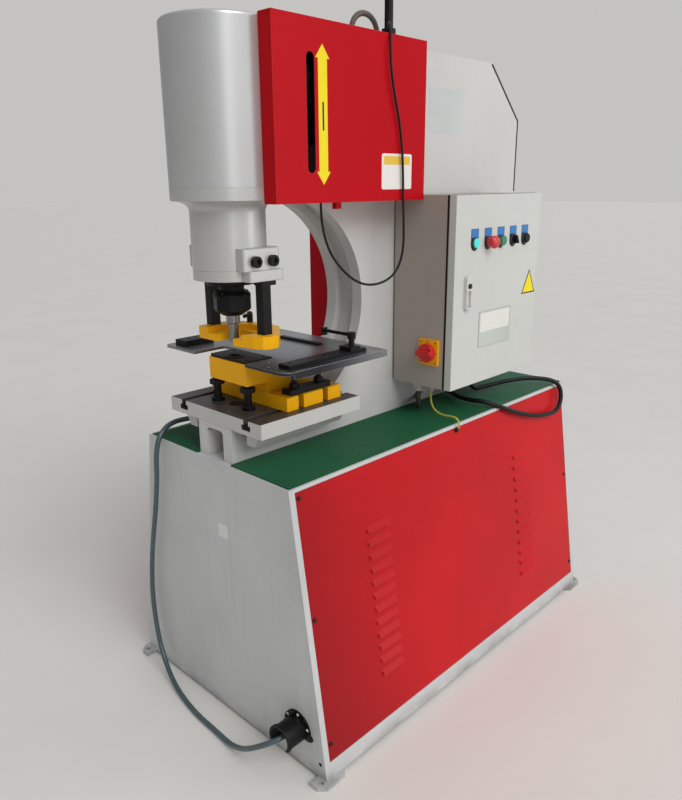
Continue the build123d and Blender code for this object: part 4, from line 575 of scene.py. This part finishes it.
plain_cord("air_hose_line", "air_hose", HOSE_ROUTE, 16.0, hose_plastic)
plain_cord("control_cable_line", "control_cable", CONTROL_ROUTE, 7.0, black_rubber)
plain_cord("power_cable_line", "power_cable", POWER_ROUTE, 16.0, black_rubber)
plain_cord("earth_wire_line", "earth_wire", EARTH_ROUTE, 6.0, earth_yellow)
ribbed_cord("top_conduit_line", "top_conduit", ARCH_ROUTE, 17.0, 1.3, conduit_grey)
ribbed_cord("leg_conduit_line", "leg_conduit", CONDUIT_ROUTE, 16.0, 1.2, conduit_black)


# Outlines of thin pieces, in mm: across and up on the face that a piece lies on
CORNER_STEPS = 6


def rounded(left, right, low, high, corner):
    """A rectangle with rounded corners."""
    out = []
    for u, v, first in ((right - corner, low + corner, -90), (right - corner, high - corner, 0),
                        (left + corner, high - corner, 90), (left + corner, low + corner, 180)):
        for i in range(CORNER_STEPS + 1):
            a = math.radians(first + 90 * i / CORNER_STEPS)
            out.append((u + corner * math.cos(a), v + corner * math.sin(a)))
    return out


def disc(u, v, r, steps):
    """Points round a circle."""
    turns = [2 * math.pi * i / steps for i in range(steps)]
    return [(u + r * math.cos(a), v + r * math.sin(a)) for a in turns]


def prism(name, outline, axis, start, end, mat, body="frame"):
    """A flat outline taken from one place to another along an axis."""
    def at(u, v, w):
        return mm(*{"x": (w, u, v), "y": (u, w, v), "z": (u, v, w)}[axis])
    n = len(outline)
    verts = [at(u, v, start) for u, v in outline] + [at(u, v, end) for u, v in outline]
    faces = [tuple(range(n)), tuple(range(2 * n - 1, n - 1, -1))]
    faces += [(i, (i + 1) % n, n + (i + 1) % n, n + i) for i in range(n)]
    obj = mesh_object(name, verts, faces, mat)
    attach(obj, body)


# Slotted cover: the stroke arrow with its mark, and a blank label
COVER_FACE = 196.5
ARROW_TOP = COVER_FACE + 0.5
MARK_TOP = COVER_FACE + 0.7
LABEL_TOP = COVER_FACE + 0.4
BAND_TOP = COVER_FACE + 0.6
ARROW_Y, ARROW_LOW, ARROW_HIGH = 274.0, 1597.0, 1935.0
ARROW_SHAFT_HALF, ARROW_HEAD_HALF, ARROW_HEAD_HEIGHT = 16.0, 25.0, 33.0
ARROW_MARK = rounded(271.5, 277.5, 1731, 1800, 2)
COVER_LABEL = rounded(505, 639, 1583, 1681, 6)
LABEL_BAND = rounded(514, 630, 1651, 1674, 3)
arrow = []
for way, tip in ((1, ARROW_HIGH), (-1, ARROW_LOW)):
    neck = tip - way * ARROW_HEAD_HEIGHT
    shaft = way * ARROW_SHAFT_HALF
    head = way * ARROW_HEAD_HALF
    arrow += [(ARROW_Y + shaft, neck), (ARROW_Y + head, neck), (ARROW_Y, tip),
              (ARROW_Y - head, neck), (ARROW_Y - shaft, neck)]
prism("stroke_arrow", arrow, "x", COVER_FACE, ARROW_TOP, yellow_print)
prism("stroke_arrow_mark", ARROW_MARK, "x", ARROW_TOP, MARK_TOP, black_print)
prism("cover_label", COVER_LABEL, "x", COVER_FACE, LABEL_TOP, cream_print)
prism("cover_label_band", LABEL_BAND, "x", LABEL_TOP, BAND_TOP, band_print)

# C frame's side: a bare plate, and the thin black line along the edge at its back
FRAME_FACE = 76.0
FRAME_PLATE_TOP = FRAME_FACE + 0.4
FRAME_EDGE_TOP = FRAME_FACE + 0.3
FRAME_PLATE = rounded(874, 1063, 1761, 1893, 4)
FRAME_EDGE = ((1233, 1999), (1423, 1821), (1423, 1567), (1415, 1567), (1415, 1818), (1226, 1994))
prism("frame_plate", FRAME_PLATE, "x", FRAME_FACE, FRAME_PLATE_TOP, pale_plate)
prism("frame_edge", FRAME_EDGE, "x", FRAME_FACE, FRAME_EDGE_TOP, black_rubber)

# Front plate: a blank sticker, and a small hole drawn as a flat dark disc of painted shade
FRONT_FACE = 0.0
STICKER_TOP = FRONT_FACE - 0.4
HOLE_TOP = FRONT_FACE - 0.2
FRONT_STICKER = rounded(13, 57, 615, 657, 2)
FRONT_HOLE_SHADE = disc(425, 55, 6, steps=24)
prism("front_sticker", FRONT_STICKER, "y", FRONT_FACE, STICKER_TOP, white_print)
prism("front_hole_painted_shade", FRONT_HOLE_SHADE, "y", FRONT_FACE, HOLE_TOP, hole_painted_shade)

# Hose hood: screws in its flange, in pale paint as a painted highlight where bare zinc would reflect the
# dark surroundings
HOOD_X, HOOD_Z, HOOD_FACE = 338.0, 132.0, -5.0
HOOD_SCREW_TOP = HOOD_FACE - 1.6
HOOD_SCREW_ANGLES = (19, 84, 148)
HOOD_SCREW_CIRCLE, HOOD_SCREW_RADIUS = 45.0, 4.2
for i, degrees in enumerate(HOOD_SCREW_ANGLES):
    u = HOOD_X + HOOD_SCREW_CIRCLE * math.cos(math.radians(degrees))
    v = HOOD_Z + HOOD_SCREW_CIRCLE * math.sin(math.radians(degrees))
    prism(f"hood_screw_painted_highlight_{i}", disc(u, v, HOOD_SCREW_RADIUS, steps=16), "y", HOOD_FACE,
          HOOD_SCREW_TOP, white_print)

# Main switch plate: screws and two ticks, without words
SWITCH_X, SWITCH_Z, SWITCH_FACE = 233.0, 1079.0, 694.0
SWITCH_SCREW_TOP = SWITCH_FACE - 0.3
TICK_TOP = SWITCH_FACE - 0.2
SWITCH_SCREW_ACROSS, SWITCH_SCREW_UP, SWITCH_SCREW_RADIUS = 29.0, 33.0, 2.6
TICKS = (("switch_off_tick", 0, 36, 1.2, 3.5), ("switch_on_tick", 34, 0, 3.0, 1.2))
for i, (across, up) in enumerate(((-1, -1), (1, -1), (1, 1), (-1, 1))):
    screw = disc(SWITCH_X + across * SWITCH_SCREW_ACROSS, SWITCH_Z + up * SWITCH_SCREW_UP,
                 SWITCH_SCREW_RADIUS, steps=12)
    prism(f"switch_screw_{i}", screw, "y", SWITCH_FACE, SWITCH_SCREW_TOP, black_print)
for name, across, up, half_width, half_height in TICKS:
    x = SWITCH_X + across
    z = SWITCH_Z + up
    tick = rounded(x - half_width, x + half_width, z - half_height, z + half_height, 1)
    prism(name, tick, "y", SWITCH_FACE, TICK_TOP, black_print)

# Cabinet: the dark line of the door seal along the rim, where the door opens
SEAL_BACK, SEAL_EDGE, SEAL_HEIGHT = 286.0, 293.0, 0.4
BODY_FRONT, BODY_REAR, BODY_LOW, BODY_HIGH = 704.0, 1202.0, 961.0, 1565.0
SEAL_UPRIGHT = rounded(SEAL_BACK, SEAL_EDGE, BODY_LOW, BODY_HIGH, 1)
SEAL_LEVEL = rounded(SEAL_BACK, SEAL_EDGE, BODY_FRONT, BODY_REAR, 1)
for name, outline, axis, start, end in (
        ("door_seal_front", SEAL_UPRIGHT, "y", BODY_FRONT, BODY_FRONT - SEAL_HEIGHT),
        ("door_seal_top", SEAL_LEVEL, "z", BODY_HIGH, BODY_HIGH + SEAL_HEIGHT),
        ("door_seal_bottom", SEAL_LEVEL, "z", BODY_LOW, BODY_LOW - SEAL_HEIGHT)):
    prism(name, outline, axis, start, end, black_rubber)

# Cabinet door: a blank legend plate round each device
DOOR_FACE = 319.0
LEGEND_PLATE_TOP = DOOR_FACE + 1.0
LEGEND_FACE_TOP = DOOR_FACE + 1.3
DEVICES, FIRST_DEVICE, DEVICE_PITCH, DEVICE_Z = 5, 805, 74, 1417
LEGEND_HALF, LEGEND_DROP, LEGEND_HIGH, LEGEND_ARC_STEPS = 20, 21, 1463, 12
FACE_INSET, FACE_HEIGHT, FACE_CORNER = 1, 25, 1.5
for i in range(DEVICES):
    y = FIRST_DEVICE + DEVICE_PITCH * i
    arc = [math.radians(180 + 180 * k / LEGEND_ARC_STEPS) for k in range(LEGEND_ARC_STEPS + 1)]
    outline = [(y + LEGEND_HALF * math.cos(a), DEVICE_Z + LEGEND_DROP * math.sin(a)) for a in arc]
    outline += [(y + LEGEND_HALF, LEGEND_HIGH), (y - LEGEND_HALF, LEGEND_HIGH)]
    half = LEGEND_HALF - FACE_INSET
    high = LEGEND_HIGH - FACE_INSET
    face = rounded(y - half, y + half, high - FACE_HEIGHT, high, FACE_CORNER)
    prism(f"legend_plate_{i}", outline, "x", DOOR_FACE, LEGEND_PLATE_TOP, black_print,
          "door")
    prism(f"legend_face_{i}", face, "x", LEGEND_PLATE_TOP, LEGEND_FACE_TOP, blue_print,
          "door")

# Cabinet door: a paper pocket, and a triangle without its sign
POCKET_TOP = DOOR_FACE + 1.2
FILM_TOP = DOOR_FACE + 1.5
SHEET_TOP = DOOR_FACE + 1.6
TRIANGLE_TOP = DOOR_FACE + 0.4
TRIANGLE_FACE_TOP = DOOR_FACE + 0.6
POCKET = rounded(848, 1038, 1080, 1199, 4)
POCKET_FILM = rounded(850, 1036, 1082, 1197, 3)
POCKET_SHEET = rounded(856, 1030, 1131, 1193, 2)
TRIANGLE = ((1104, 1229), (1192, 1229), (1148, 1312))
TRIANGLE_CENTRE = (1148, 1256)
TRIANGLE_INNER = 0.84
inner = [[c + (p - c) * TRIANGLE_INNER for p, c in zip(corner, TRIANGLE_CENTRE)] for corner in TRIANGLE]
prism("door_pocket", POCKET, "x", DOOR_FACE, POCKET_TOP, pocket_rim, "door")
prism("door_pocket_film", POCKET_FILM, "x", POCKET_TOP, FILM_TOP, clear_film, "door")
prism("door_pocket_sheet", POCKET_SHEET, "x", FILM_TOP, SHEET_TOP, white_print, "door")
prism("door_triangle", TRIANGLE, "x", DOOR_FACE, TRIANGLE_TOP, black_print, "door")
prism("door_triangle_face", inner, "x", TRIANGLE_TOP, TRIANGLE_FACE_TOP, yellow_print,
      "door")

# Floor
FLOOR_HALF = 60.0
FLOOR_DARK = "DAD6D0"
FLOOR_PALE = "E4E1DC"
FLOOR_ROUGHNESS = 0.6
floor_mat, floor_tree, floor_shader = new_material("floor")
floor_place = floor_tree.nodes.new("ShaderNodeTexCoord").outputs["Object"]
floor_patches = noise(floor_tree, floor_place, scale=1.7, detail=6.0)
floor_colour = blend_colour(floor_tree, floor_patches, rgb(FLOOR_DARK), rgb(FLOOR_PALE))
feed(floor_tree, floor_colour, floor_shader.inputs["Base Color"])
floor_shader.inputs["Roughness"].default_value = FLOOR_ROUGHNESS
floor_corners = [(-FLOOR_HALF, -FLOOR_HALF, 0), (FLOOR_HALF, -FLOOR_HALF, 0),
                 (FLOOR_HALF, FLOOR_HALF, 0), (-FLOOR_HALF, FLOOR_HALF, 0)]
floor = mesh_object("floor", floor_corners, [(0, 1, 2, 3)], floor_mat)


# Lamps
def area_light(name, place, target, size, watts):
    """A soft panel that faces a target."""
    data = bpy.data.lights.new(name, "AREA")
    data.shape = "RECTANGLE"
    data.size, data.size_y = size
    data.energy = watts
    obj = bpy.data.objects.new(name, data)
    scene.collection.objects.link(obj)
    obj.location = place
    obj.rotation_euler = (Vector(target) - Vector(place)).to_track_quat("-Z", "Y").to_euler()


SUN_FROM = (0.75, -0.12, 0.65)
SUN_STRENGTH = 1.5
SUN_SOFTNESS = 38
sun_data = bpy.data.lights.new("sun", "SUN")
sun_data.energy = SUN_STRENGTH
sun_data.angle = math.radians(SUN_SOFTNESS)
sun = bpy.data.objects.new("sun", sun_data)
scene.collection.objects.link(sun)
sun.rotation_euler = Vector(SUN_FROM).to_track_quat("Z", "Y").to_euler()
area_light("side_panel", place=(3.2, 1.6, 2.2), target=(0, -0.4, 1.5), size=(1.2, 2.4), watts=20)
area_light("front_panel", place=(2.9, -1.9, 2.0), target=(0, -0.6, 1.4), size=(0.9, 2.2), watts=5)


# World
def background(tree, colour, strength):
    """An even light of one colour."""
    node = tree.nodes.new("ShaderNodeBackground")
    node.inputs[0].default_value = (*colour, 1)
    feed(tree, strength, node.inputs[1])
    return node.outputs[0]


def mix_shaders(tree, factor, a, b):
    """The first shader where the factor is 0, and the second where it is 1."""
    node = tree.nodes.new("ShaderNodeMixShader")
    for socket, value in zip(node.inputs, (factor, a, b)):
        feed(tree, value, socket)
    return node.outputs[0]


# A span is how far a direction points up, or towards the windows; a strength is the light at its two ends
BACKDROP_COLOUR = (0.555, 0.546, 0.532)
HALL_COLOUR = (0.95, 0.97, 1.0)
HALL_SPAN = (-0.05, 0.7)
HALL_STRENGTH = (0.20, 0.52)
WINDOW_SIDE = (0.72, 0.69, 0.1)
GLOSS_COLOUR = (0.97, 0.98, 1.0)
GLOSS_SPAN = (-0.8, 0.95)
GLOSS_STRENGTH = (0.26, 1.0)
world = bpy.data.worlds.new("world")
scene.world = world
world.use_nodes = True
world_tree = world.node_tree
world_tree.nodes.clear()
world_out = world_tree.nodes.new("ShaderNodeOutputWorld")
ray = world_tree.nodes.new("ShaderNodeLightPath").outputs
direction = world_tree.nodes.new("ShaderNodeTexCoord").outputs["Generated"]

# The hall lights the object more from above, and the camera sees a plain pale backdrop
upward = separate(world_tree, direction)[2]
hall = background(world_tree, HALL_COLOUR, ranged(world_tree, upward, *HALL_SPAN, *HALL_STRENGTH))
backdrop = background(world_tree, BACKDROP_COLOUR, 1.0)
seen = calculate(world_tree, "MAXIMUM", ray["Is Camera Ray"], ray["Is Transmission Ray"])
hall_or_backdrop = mix_shaders(world_tree, seen, hall, backdrop)

# Gloss shows a pale hall, brighter towards the windows on the right
window = dot(world_tree, direction, WINDOW_SIDE)
gloss = background(world_tree, GLOSS_COLOUR, ranged(world_tree, window, *GLOSS_SPAN, *GLOSS_STRENGTH))
feed(world_tree, mix_shaders(world_tree, ray["Is Glossy Ray"], hall_or_backdrop, gloss), world_out.inputs[0])

scene.view_settings.view_transform = "Standard"
